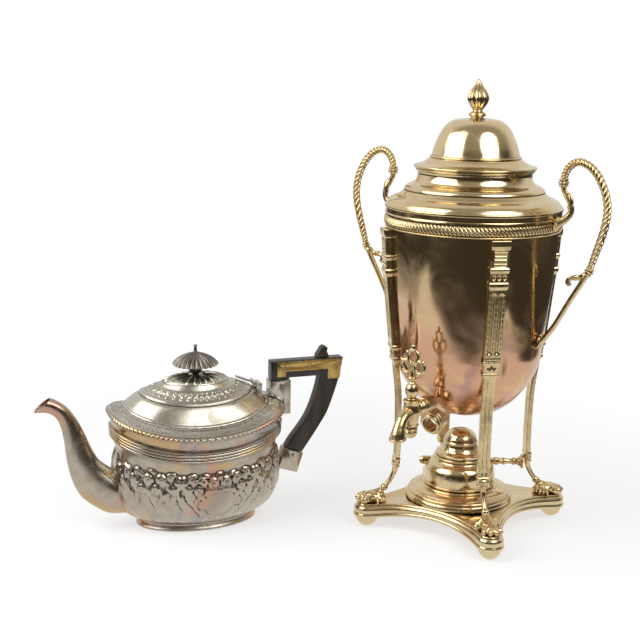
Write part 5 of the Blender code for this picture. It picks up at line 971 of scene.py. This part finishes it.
wick_cotton = bpy.data.materials.new("wick_cotton")
wick_cotton.use_nodes = True
tree = wick_cotton.node_tree
shader = tree.nodes["Principled BSDF"]
shader.inputs["Roughness"].default_value = 0.95
where = add_node(tree, "ShaderNodeTexCoord").outputs["Object"]
braid = add_node(tree, "ShaderNodeTexWave", {
    "Vector": where, "Scale": 260.0, "Distortion": 3.0, "Detail": 2.0,
}, bands_direction="DIAGONAL").outputs["Fac"]
height = add_node(tree, "ShaderNodeSeparateXYZ", {0: where}).outputs["Z"]
char = slope(tree, height, 79.5 * mm, 83.0 * mm)
thread = blend(tree, braid, (0.50, 0.45, 0.36, 1), (0.80, 0.76, 0.66, 1))
tree.links.new(blend(tree, char, thread, (0.03, 0.025, 0.02, 1)), shader.inputs["Base Color"])
bump = add_node(tree, "ShaderNodeBump", {"Height": braid, "Strength": 0.6, "Distance": 0.4 * mm})
tree.links.new(bump.outputs["Normal"], shader.inputs["Normal"])
keep(wick_cotton, "wick")


# Teapot body: raised from silver plated sheet on an oval foot ring. The lower body is chased with
# leaning flutes under a band of flowers and scrolls, and has four beads round its waist.
pot_place = Matrix.Translation((-119.8 * mm, -5 * mm, 0)) @ Matrix.Rotation(radians(20), 4, "Z")


def silver_tint(tree, colour):
    """Pink, straw and blue tarnish that drifts over the plate in patches."""
    pink = slope(tree, noise(tree, 16.0, 5.0, 0.8), 0.49, 0.62)
    colour = blend(tree, sum_of(tree, "MULTIPLY", pink, 0.7), colour, (0.58, 0.30, 0.22, 1))
    straw = slope(tree, noise(tree, 13.0, 4.0, 1.3, (1, 1, 1.7)), 0.53, 0.65)
    colour = blend(tree, sum_of(tree, "MULTIPLY", straw, 0.7), colour, (0.62, 0.40, 0.16, 1))
    blue = slope(tree, noise(tree, 26.0, 5.0, 0.6, (1.4, 1, 1)), 0.58, 0.70)
    return blend(tree, sum_of(tree, "MULTIPLY", blue, 0.6), colour, (0.26, 0.30, 0.38, 1))


# The silver plates paint shade into the chased recesses, almost to black, through the relief group's
# recess darkening.
silver = polished("silver_plate", (0.50, 0.45, 0.37), (0.38, 0.33, 0.26), (0.33, 0.27, 0.21),
                  (0.03, 0.026, 0.022), 0.21, 18.0, hollow_shade_share=0.97, depth=3.0, tint=silver_tint)
pale_silver = polished("pale_silver_plate", (0.56, 0.53, 0.46), (0.43, 0.40, 0.33),
                       (0.36, 0.32, 0.26), (0.03, 0.026, 0.022), 0.23, 22.0, hollow_shade_share=0.97,
                       depth=3.0)
dark_silver = polished("dark_silver", (0.24, 0.21, 0.18), (0.16, 0.14, 0.12), (0.12, 0.10, 0.09),
                       (0.015, 0.013, 0.012), 0.3, 60.0, depth=1.2)


def oval_angles(count):
    """Angles that set that many points evenly round the pot, from the middle of its near side."""
    fine = np.linspace(-pi / 2, 3 * pi / 2, 4001)
    x = 86 * np.sign(np.cos(fine)) * np.abs(np.cos(fine)) ** 0.85
    y = 58 * np.sign(np.sin(fine)) * np.abs(np.sin(fine)) ** 0.85
    length = np.concatenate([[0], np.cumsum(np.hypot(np.diff(x), np.diff(y)))])
    even = np.linspace(0, length[-1], count, endpoint=False)
    return np.interp(even, length, fine), even, length[-1]


def oval_grid(stations, angles):
    """Rings of points in metres from stations of (half length, half width, power, height, lift)."""
    grid = []
    for length, width, power, height, lift in stations:
        x = np.sign(np.cos(angles)) * np.abs(np.cos(angles)) ** (2 / power)
        y = np.sign(np.sin(angles)) * np.abs(np.sin(angles)) ** (2 / power)
        grid.append(np.stack([length * x, width * y, height + lift * x * x], 1) * mm)
    return np.array(grid)


def raise_relief(grid, relief):
    """Push each point of the grid outwards by the relief, in millimetres."""
    round_it = np.roll(grid, -1, 1) - np.roll(grid, 1, 1)
    up_it = np.gradient(grid, axis=0)
    normal = np.cross(round_it, up_it)
    normal /= np.linalg.norm(normal, axis=2, keepdims=True) + 1e-12
    return grid + normal * relief[..., None] * mm


def scroll(across, up, middle, rise, size, hand):
    """A raised spiral, as chased with a tracing punch; hand is 1 or -1 for its turn."""
    dx, dy = (across - middle) * hand, up - rise
    reach = np.hypot(dx, dy) + 1e-6
    winding = np.log(size / reach) / 0.32 - np.arctan2(dy, dx)
    ridge = np.abs((winding / (2 * pi)) % 1 - 0.5) * 2
    wire = 1.5 * ridge ** 0.8 * np.clip((size - reach) / 1.2, 0, 1)
    return wire + 0.5 * np.clip(1 - reach / size, 0, 1)


def rosette(across, up, middle, rise, size, petals=6):
    """A flower of round petals with a button in its middle."""
    dx, dy = across - middle, up - rise
    reach = np.hypot(dx, dy) / size
    lobes = 0.72 + 0.28 * np.abs(np.cos(petals / 2 * np.arctan2(dy, dx))) ** 0.6
    bowl = np.clip(1 - (reach / lobes) ** 4, 0, 1) * (0.7 + 0.6 * np.clip(reach, 0, 1))
    veins = 0.35 * np.abs(np.sin(petals / 2 * np.arctan2(dy, dx))) ** 8
    return 1.5 * np.maximum(bowl * (1 - veins), np.clip(1.25 - (reach / 0.26) ** 2, 0, 1.1))


def acanthus(across, up, middle, rise, length, width, turn):
    """A leaf from its root, at a turn in degrees, with a vein and a lobed edge."""
    dx, dy = across - middle, up - rise
    along = (dx * cos(radians(turn)) + dy * sin(radians(turn))) / length
    aside = -dx * sin(radians(turn)) + dy * cos(radians(turn))
    inside = np.clip(along, 0, 1)
    half = width * np.sin(pi * inside ** 0.8) ** 0.7 * (0.8 + 0.2 * np.cos(26 * inside)) + 1e-3
    body = np.clip(1 - (aside / half) ** 2, 0, 1) ** 0.5
    body *= 0.6 + 0.4 * np.clip(np.abs(aside) / 0.5, 0, 1)
    return 1.35 * body * ((along > 0) & (along < 1))


pot_columns = 392
angles, arc, girth = oval_angles(pot_columns)
middle_shift = 11.0
near = arc < girth / 4
side_arc = np.where(arc > 0.75 * girth, arc - girth, np.where(near, arc, girth / 2 - arc))
lower_run = curve_through([
    (59.4, 37.5, 2.0, 6.8, 0), (66.6, 43.0, 2.0, 10.0, 0), (77.4, 50.5, 2.1, 18.9, 0),
    (83.7, 55.4, 2.2, 30.5, 2.0), (86.0, 57.5, 2.25, 44.1, 5.0), (84.6, 57.0, 2.3, 57.8, 9.0),
    (81.9, 55.4, 2.4, 67.7, 12.6), (83.4, 56.6, 2.42, 73.0, 14.7), (86.2, 58.8, 2.46, 77.0, 16.1),
], 9)
bead_run = []
for step in range(29):
    rise = step / 28
    bead = 1.25 * abs(sin(3.5 * pi * rise)) ** 0.7
    bead_run.append((86.2 + 0.3 * rise + bead, 58.8 + 1.2 * rise + bead, 2.46 + 0.1 * rise,
                     77.2 + 10.8 * rise, 16.3))
upper_run = curve_through([
    (85.9, 60.0, 2.58, 88.4, 16.5), (85.0, 59.6, 2.6, 92.5, 16.4), (85.4, 60.6, 2.66, 97.5, 16.1),
    (87.0, 62.6, 2.72, 102.6, 15.8),
], 5)
floor_run = [(20, 12, 2, 6.9, 0), (40, 25, 2, 6.8, 0), (54, 34, 2, 6.8, 0)]
pot_stations = floor_run + lower_run + bead_run + upper_run
pot_grid = oval_grid(pot_stations, angles)

# The chasing, in millimetres of relief: up is the height of a point, and off is how far round the
# side it lies from the middle of the cartouche.
up = np.array([station[3] for station in pot_stations])[:, None] + 0 * side_arc[None, :]
across = side_arc[None, :] - middle_shift + 0 * up
off = np.abs(across)
lean = 0.42 * (up - 12) + 0.006 * (up - 12) ** 2
flute_pitch = 12.5
flute_phase = (off - lean) / flute_pitch
flutes = 1.7 * (np.abs(np.cos(pi * flute_phase)) ** 0.45) - 1.2
flutes *= np.clip((up - 11) / 6, 0, 1) * np.clip((53 - up) / 6, 0, 1)
cartouche = np.hypot(across / 28, (up - 33) / 14.5)
flutes = np.where(cartouche < 1, -0.25, flutes)
frame_ridge = 1.2 * np.exp(-((cartouche - 1) / 0.055) ** 2)
relief = np.maximum(flutes, frame_ridge * np.clip((up - 14) / 4, 0, 1))
band = np.clip((up - 46) / 3, 0, 1) * np.clip((68.5 - up) / 2.5, 0, 1)
relief = np.where(relief < 0, relief * (1 - band), relief)
for middle, rise, size, hand in (
    (6.5, 55.5, 6.4, 1), (18.5, 58.0, 5.6, -1), (22.5, 49.0, 5.2, 1), (29.5, 60.5, 4.6, 1),
    (60.5, 58.5, 5.8, -1), (65.0, 49.5, 4.8, 1), (73.0, 57.5, 5.2, 1), (80.0, 48.5, 4.6, -1),
    (97.0, 59.0, 5.4, 1), (103.0, 50.0, 5.0, -1), (13.5, 47.5, 3.8, -1), (51.0, 62.0, 4.0, 1),
    (86.0, 62.0, 3.8, -1), (112, 58, 5.0, 1), (120, 50, 5, -1),
):
    relief = np.maximum(relief, scroll(off, up, middle, rise, size, hand))
for middle, rise, size in ((40.5, 57.0, 7.4), (34.0, 50.0, 4.6), (47.5, 50.0, 4.8),
                           (88.0, 54.5, 6.2), (0, 62.5, 4.6), (109, 53.5, 6)):
    relief = np.maximum(relief, rosette(off, up, middle, rise, size))
for middle, rise, length, width, turn in (
    (36, 46, 15, 3.2, -118), (42, 45, 17, 3.4, -100), (48, 46, 15, 3.2, -78),
    (26, 47, 13, 3.0, -140), (30, 55, 10, 2.6, 150), (54, 55, 12, 3.0, 35), (56, 48, 13, 3.0, -60),
    (70, 46, 14, 3.2, -105), (77, 60, 9, 2.4, 20), (84, 46, 14, 3.2, -80), (92, 47, 13, 3.0, -110),
    (99, 64, 9, 2.4, -20), (107, 46, 13, 3.0, -75), (23, 27, 9, 3.6, -150),
    (24.5, 22, 8, 3.0, 170), (10, 62, 8, 2.2, 20), (24, 64, 8, 2.2, 0), (45, 64.5, 8, 2.2, 0),
    (66, 64.5, 8, 2.2, 10), (3, 50, 7, 2.2, -20), (116, 60, 9, 2.4, 60),
):
    relief = np.maximum(relief, acanthus(off, up, middle, rise, length, width, turn))
ground = -0.35 * band
relief = np.where(relief < 0.05, np.minimum(relief, ground), relief)
pot_grid = raise_relief(pot_grid, relief)
pot_body = shell("pot_body", list(pot_grid), "first", 1.0 * mm, place=pot_place, angle=75)
strainer_holes = []
hole_pitch = 8.5
for row, count in ((-1, 2), (0, 3), (1, 2)):
    for number in range(count):
        bpy.ops.object.select_all(action="DESELECT")
        middle = Vector((-85, (number - (count - 1) / 2) * hole_pitch, 37 + hole_pitch * row)) * mm
        bpy.ops.mesh.primitive_cylinder_add(vertices=16, radius=2.1 * mm, depth=30 * mm,
                                            rotation=(0, pi / 2, 0), location=middle)
        hole = bpy.context.object
        bpy.ops.object.transform_apply(location=True, rotation=True, scale=True)
        set_down(hole, pot_place)
        strainer_holes.append(hole)
cut_with(pot_body, joined(*strainer_holes))
fit(pot_body, silver, "silver_plate", "teapot", "teapot_body")

few_angles = oval_angles(128)[0]
foot_grid = oval_grid(curve_through([(62.5, 39.5, 2, 0, 0), (62.6, 39.6, 2, 1.4, 0),
                                     (61.6, 38.8, 2, 3.0, 0), (60.0, 37.4, 2, 4.8, 0),
                                     (59.8, 37.2, 2, 6.6, 0)], 3)
                      + [(56.8, 34.2, 2, 6.6, 0), (59.2, 36.4, 2, 0, 0), (62.5, 39.5, 2, 0, 0)],
                      few_angles)
foot = shell("foot", list(foot_grid), place=pot_place)
fit(foot, silver, "silver_plate", "teapot", "teapot_foot_ring")


# Shoulder and rim: the top sheet is soldered inside a gadroon wire. Its flat flange is punched
# with fans and dots, and it swells up plain and bright to the seat of the lid.
shoulder_run = curve_through([
    (87.0, 62.2, 2.75, 105.6, 15.8), (81.5, 57.2, 2.65, 108.4, 15.0),
    (75.5, 52.2, 2.55, 110.6, 14.0), (72.0, 49.4, 2.5, 113.0, 13.4),
    (68.6, 47.0, 2.44, 117.2, 12.3), (64.4, 44.0, 2.38, 122.2, 10.8),
    (60.6, 41.4, 2.32, 126.4, 9.2), (58.5, 39.8, 2.28, 128.6, 7.8),
], 7)
shoulder_run += [(57.8, 39.1, 2.28, 129.2, 7.6), (57.0, 38.3, 2.28, 128.6, 7.6),
                 (54.0, 35.9, 2.28, 127.8, 7.3)]
shoulder_grid = oval_grid(shoulder_run, angles)

# The punched pattern repeats once a fan; inset is how far in from the rim a point lies.
inset = np.array([87.0 - station[0] for station in shoulder_run])[:, None] + 0 * side_arc[None, :]
across = side_arc[None, :] + 0 * inset
fan_pitch = 9.2
fan = np.abs(((across / fan_pitch) % 1) - 0.5) * fan_pitch
dart = 0.9 * np.clip(1 - fan / (0.35 + 0.10 * inset), 0, 1)
dart *= np.clip(inset - 1.2, 0, 1) * np.clip((9.5 - inset) / 2, 0, 1)
dot = 1.0 * np.clip(1 - np.hypot(fan, inset - 11.0) / 1.2, 0, 1) ** 0.5
arch_ring = np.hypot(fan - fan_pitch / 2, inset - 5.6)
arcs = 0.7 * np.exp(-((arch_ring - 3.1) / 0.5) ** 2) + 0.5 * np.exp(-((arch_ring - 1.3) / 0.5) ** 2)
relief = np.maximum.reduce([dart, dot, arcs * np.clip(inset - 1.0, 0, 1)])
relief *= np.clip((13.2 - inset) / 1.0, 0, 1)
relief += 0.45 * np.exp(-((inset - 14.0) / 0.6) ** 2)
shoulder = shell("shoulder", list(raise_relief(shoulder_grid, relief)), wall=1.0 * mm,
                 place=pot_place, angle=75)
fit(shoulder, pale_silver, "silver_plate", "teapot", "teapot_shoulder")

gadroons = 98
wire_angles, wire_arc, wire_girth = oval_angles(gadroons * 10)
wire_core = oval_grid([(87.2, 62.8, 2.75, 102.5, 15.8)], wire_angles)[0]
aside = oval_grid([(88.2, 63.8, 2.75, 102.5, 15.8)], wire_angles)[0] - wire_core
aside /= np.linalg.norm(aside, axis=1, keepdims=True)
wire_rings = []
for step in range(17):
    turn = 2 * pi * step / 16
    phase = pi * gadroons * wire_arc / wire_girth + 1.5 * sin(turn)
    outward = max(0.0, cos(turn)) ** 0.5
    swell = 2.6 - 1.3 * outward * (1 - np.sqrt(np.abs(np.cos(phase))))
    ring = wire_core + aside * (swell * cos(turn))[:, None] * mm
    ring[:, 2] += swell * sin(turn) * mm
    wire_rings.append(ring)
wire_rings[-1] = wire_rings[0]
rim = shell("gadroon_rim", wire_rings, place=pot_place, angle=60)
fit(rim, silver, "silver_plate", "teapot", "teapot_rim")


# Spout: a swan neck, seamed from sheet and soldered over the strainer holes, open at its tip.
spout_route = curve_through([
    (-72, 14.5, -81, 56, 17), (-91.7, 16.6, -86, 59.6, 16), (-109, 28, -98, 69.5, 14.4),
    (-119, 38.7, -104, 78.5, 13.1), (-126, 55, -108.5, 88, 11.5), (-130, 74.5, -113, 99, 9.6),
    (-132.2, 95, -118.5, 111, 7.8), (-135.4, 110.5, -124.5, 121.5, 6.6),
    (-140.5, 120.5, -131.5, 130, 6.0), (-149, 125.6, -140, 136, 5.8),
    (-160.6, 126.6, -145.5, 138.6, 6.4),
], 6)
spout_rings = []
for low_x, low_z, high_x, high_z, width in spout_route:
    low, high = Vector((low_x, 0, low_z)) * mm, Vector((high_x, 0, high_z)) * mm
    spout_rings.append([
        (low + high) / 2 - (high - low) / 2 * (np.sign(sin(a)) * abs(sin(a)) ** 0.9)
        + Vector((0, width * mm * cos(a), 0))
        for a in (2 * pi * step / 56 for step in range(56))])
spout = shell("spout", spout_rings, wall=0.9 * mm, place=pot_place, angle=60)
fit(spout, silver, "silver_plate", "teapot", "teapot_spout")


# Teapot lid: stepped up from a scalloped border to a ribbed dome, with a fluted umbrella knob on
# an ebony ball. A three-knuckle hinge joins it to the shoulder at the handle's end.
lid_run = curve_through([
    (57.4, 38.7, 2.28, 129.6, 7.6), (57.2, 38.5, 2.28, 130.5, 7.6), (54.6, 36.8, 2.26, 132.0, 7.0),
    (50.5, 33.7, 2.2, 134.6, 5.7), (45.8, 30.8, 2.15, 138.2, 4.2), (41.6, 28.4, 2.1, 140.8, 3.0),
    (38.4, 26.6, 2.08, 142.8, 1.8), (36.0, 25.2, 2.05, 145.4, 0.8), (34.8, 24.4, 2.02, 146.8, 0.2),
], 6) + curve_through([
    (33.6, 23.5, 2, 146.8, 0), (32.2, 22.6, 2, 148.2, 0), (29.0, 20.4, 2, 150.0, 0),
    (23, 16.6, 2, 151.8, 0), (14, 10.6, 2, 152.9, 0), (6, 5, 2, 153.2, 0), (1.9, 1.9, 2, 153.2, 0),
], 5)
lid_angles, lid_arc, lid_girth = oval_angles(400)
lid_grid = oval_grid(lid_run, lid_angles)

# Ribs stand on the dome, and each cell of the border has a scallop, a stem and a dot.
reach = np.array([station[0] for station in lid_run])[:, None] + 0 * lid_arc[None, :]
turn_share = lid_arc[None, :] / lid_girth + 0 * reach
rib = np.abs(((turn_share * 22) % 1) - 0.5) * 2
ribs = 0.85 * np.exp(-((1 - rib) / 0.16) ** 2)
ribs *= np.clip((33.0 - reach) / 2, 0, 1) * np.clip((reach - 7) / 3, 0, 1)
cell = (((turn_share * 40) % 1) - 0.5) * 6.2
curve_reach = np.hypot(cell, reach - 43.6)
scallops = 0.75 * np.exp(-((curve_reach - 2.6) / 0.45) ** 2) * (reach > 42.2)
scallops += 0.6 * np.exp(-((curve_reach - 0.8) / 0.5) ** 2)
stems = 0.5 * np.exp(-(cell / 0.4) ** 2) * ((reach > 46) & (reach < 49.5))
dots = 0.8 * np.clip(1 - np.hypot(cell, reach - 50.4) / 1.0, 0, 1) ** 0.5
edge_wire = 0.5 * np.exp(-((reach - 55.4) / 0.7) ** 2)
lid_relief = np.maximum.reduce([ribs, scallops, stems, dots, edge_wire])
pot_lid = shell("pot_lid", list(raise_relief(lid_grid, lid_relief)), wall=0.9 * mm, place=pot_place,
                angle=60)
fit(pot_lid, pale_silver, "silver_plate", "teapot_lid_body", "teapot_lid")

ebony = bpy.data.materials.new("ebony")
ebony.use_nodes = True
tree = ebony.node_tree
shader = tree.nodes["Principled BSDF"]
grain = noise(tree, 90.0, 6.0, 0.4, (1, 1, 0.12))
figure = blend(tree, slope(tree, grain, 0.35, 0.75), (0.012, 0.009, 0.007, 1),
               (0.045, 0.034, 0.026, 1))
tree.links.new(figure, shader.inputs["Base Color"])
tree.links.new(slope(tree, grain, 0.3, 0.7, 0.26, 0.42), shader.inputs["Roughness"])
bump = add_node(tree, "ShaderNodeBump", {"Height": grain, "Strength": 0.12, "Distance": 0.5 * mm})
tree.links.new(bump.outputs["Normal"], shader.inputs["Normal"])

ball = spun("knob_ball", moulding(
    [(1.9, 161.9), (3.4, 161.9), (5.6, 160.4), (6.6, 158.0), (5.6, 155.4), (3.6, 153.8), (1.9, 153.6)],
    [(1.9, 153.6), (1.9, 161.9)],
), 48, place=pot_place)
fit(ball, ebony, "ebony", "teapot_lid_body", "teapot_finial_ball")
umbrella_stations = [(0.01, 183.8), (1.4, 183.5), (2.1, 182.3), (1.5, 181.2), (1.2, 180.2),
                     (1.9, 179.0), (1.5, 177.6), (2.2, 176.2), (5.0, 175.2), (10, 173.7),
                     (15, 171.5), (19, 169), (22, 166.2), (23.4, 164.2), (22.8, 163.7), (18, 165.6),
                     (12, 167.4), (6, 168.4), (3.0, 168.2), (2.7, 162.2), (1.6, 162.2),
                     (1.6, 147.4), (0.01, 147.3)]
turn = np.linspace(0, 2 * pi, 240, endpoint=False)
ridge = 1 - np.abs(np.sin(12 * turn)) ** 0.7
umbrella_rings = []
for reach, height in umbrella_stations:
    open_share = min(1.0, max(0.0, (reach - 2.5) / 10))
    wide = reach * (1 - 0.055 * open_share * ridge)
    dip = height - 1.1 * open_share * ridge
    umbrella_rings.append(np.stack([wide * np.cos(turn), wide * np.sin(turn), dip], 1) * mm)
umbrella = shell("umbrella_knob", umbrella_rings, place=pot_place, angle=50)
fit(umbrella, dark_silver, "tarnished_silver", "teapot_lid_body", "teapot_finial")


def dressed(node, name, edge):
    """A copy of a solid with its edges rounded off, to stand for it."""
    bpy.ops.object.select_all(action="DESELECT")
    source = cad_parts[node]
    piece = bpy.data.objects.new(name, source.data.copy())
    piece.data.name = name
    piece.matrix_world = source.matrix_world
    bpy.context.scene.collection.objects.link(piece)
    select_only(piece)
    bpy.ops.object.transform_apply(location=True, rotation=True, scale=True)
    bpy.ops.object.mode_set(mode="EDIT")
    bpy.ops.mesh.select_all(action="SELECT")
    bpy.ops.mesh.remove_doubles(threshold=0.01 * mm)
    bpy.ops.mesh.dissolve_limited(angle_limit=radians(2))
    bpy.ops.object.mode_set(mode="OBJECT")
    add_modifier(piece, "BEVEL", width=edge * mm, segments=3, limit_method="ANGLE",
                 angle_limit=radians(35))
    smooth_shade(piece, 35)
    return piece


for node, body in (("teapot_hinge_lid_leaf", "teapot_lid_body"), ("teapot_hinge_body_leaf", "teapot")):
    leaf = dressed(node, node.replace("teapot_", "dressed_"), 0.3)
    fit(leaf, pale_silver, "silver_plate", body, node)
keep(dark_silver, "teapot_hinge_pin", "teapot_finial_nut")


# Handle: an ebony grip, tenoned and pinned into two silver sockets, with a thumb scroll on top and
# a thin brass plate held to its near side by three round-headed screws.
outer_bow = curve_through([(157.4, 161.4), (153.4, 141), (147.4, 121.5), (140.4, 103), (132, 89),
                           (124, 77), (113, 61.2)], 4)
inner_bow = curve_through([(95.2, 67), (101.6, 77), (110, 87.6), (118, 99.4), (123, 110),
                           (126.6, 120.5), (130, 132), (132, 143.2)], 4)
grip_line = [(78.6, 141.4), (78.6, 161.4)] + outer_bow + inner_bow + [(98.2, 143.2), (97.8, 141.4)]
grip_width = 13 * mm
bpy.ops.object.select_all(action="DESELECT")
bpy.ops.mesh.primitive_circle_add(vertices=len(grip_line), radius=1, fill_type="NGON")
grip = bpy.context.object
grip.name = "grip"
for vertex, (x, z) in zip(grip.data.vertices, grip_line):
    vertex.co = (x * mm, -grip_width / 2, z * mm)
bpy.ops.object.mode_set(mode="EDIT")
bpy.ops.mesh.select_all(action="SELECT")
bpy.ops.mesh.extrude_region_move(TRANSFORM_OT_translate={"value": (0, grip_width, 0)})
bpy.ops.mesh.select_all(action="SELECT")
bpy.ops.mesh.normals_make_consistent(inside=False)
bpy.ops.object.mode_set(mode="OBJECT")
add_modifier(grip, "BEVEL", width=1.6 * mm, segments=3, limit_method="ANGLE",
             angle_limit=radians(50))
smooth_shade(grip, 35)
set_down(grip, pot_place)
fit(grip, ebony, "ebony", "teapot", "ebony_grip")
handle_brass = polished("handle_brass", (0.62, 0.44, 0.16), (0.46, 0.32, 0.11), (0.36, 0.24, 0.08),
                        (0.08, 0.05, 0.02), 0.26, 40.0)
for node, name, edge, finish, slot in (
    ("upper_socket", "socket_above", 0.8, pale_silver, "silver_plate"),
    ("lower_socket", "socket_below", 0.8, silver, "silver_plate"),
    ("handle_brass_plate", "side_plate", 0.25, handle_brass, "handle_brass"),
    ("thumb_rest", "thumb_scroll", 1.2, ebony, "ebony"),
    ("plate_screw_1", "screw_left", 0.15, aged_brass, "aged_brass"),
    ("plate_screw_2", "screw_middle", 0.15, aged_brass, "aged_brass"),
    ("plate_screw_3", "screw_right", 0.15, aged_brass, "aged_brass"),
):
    fit(dressed(node, name, edge), finish, slot, "teapot", node)
keep(dark_silver, "upper_socket_pin", "lower_socket_pin")
for outline in (round_bar, strap, rope):
    bpy.data.objects.remove(outline)
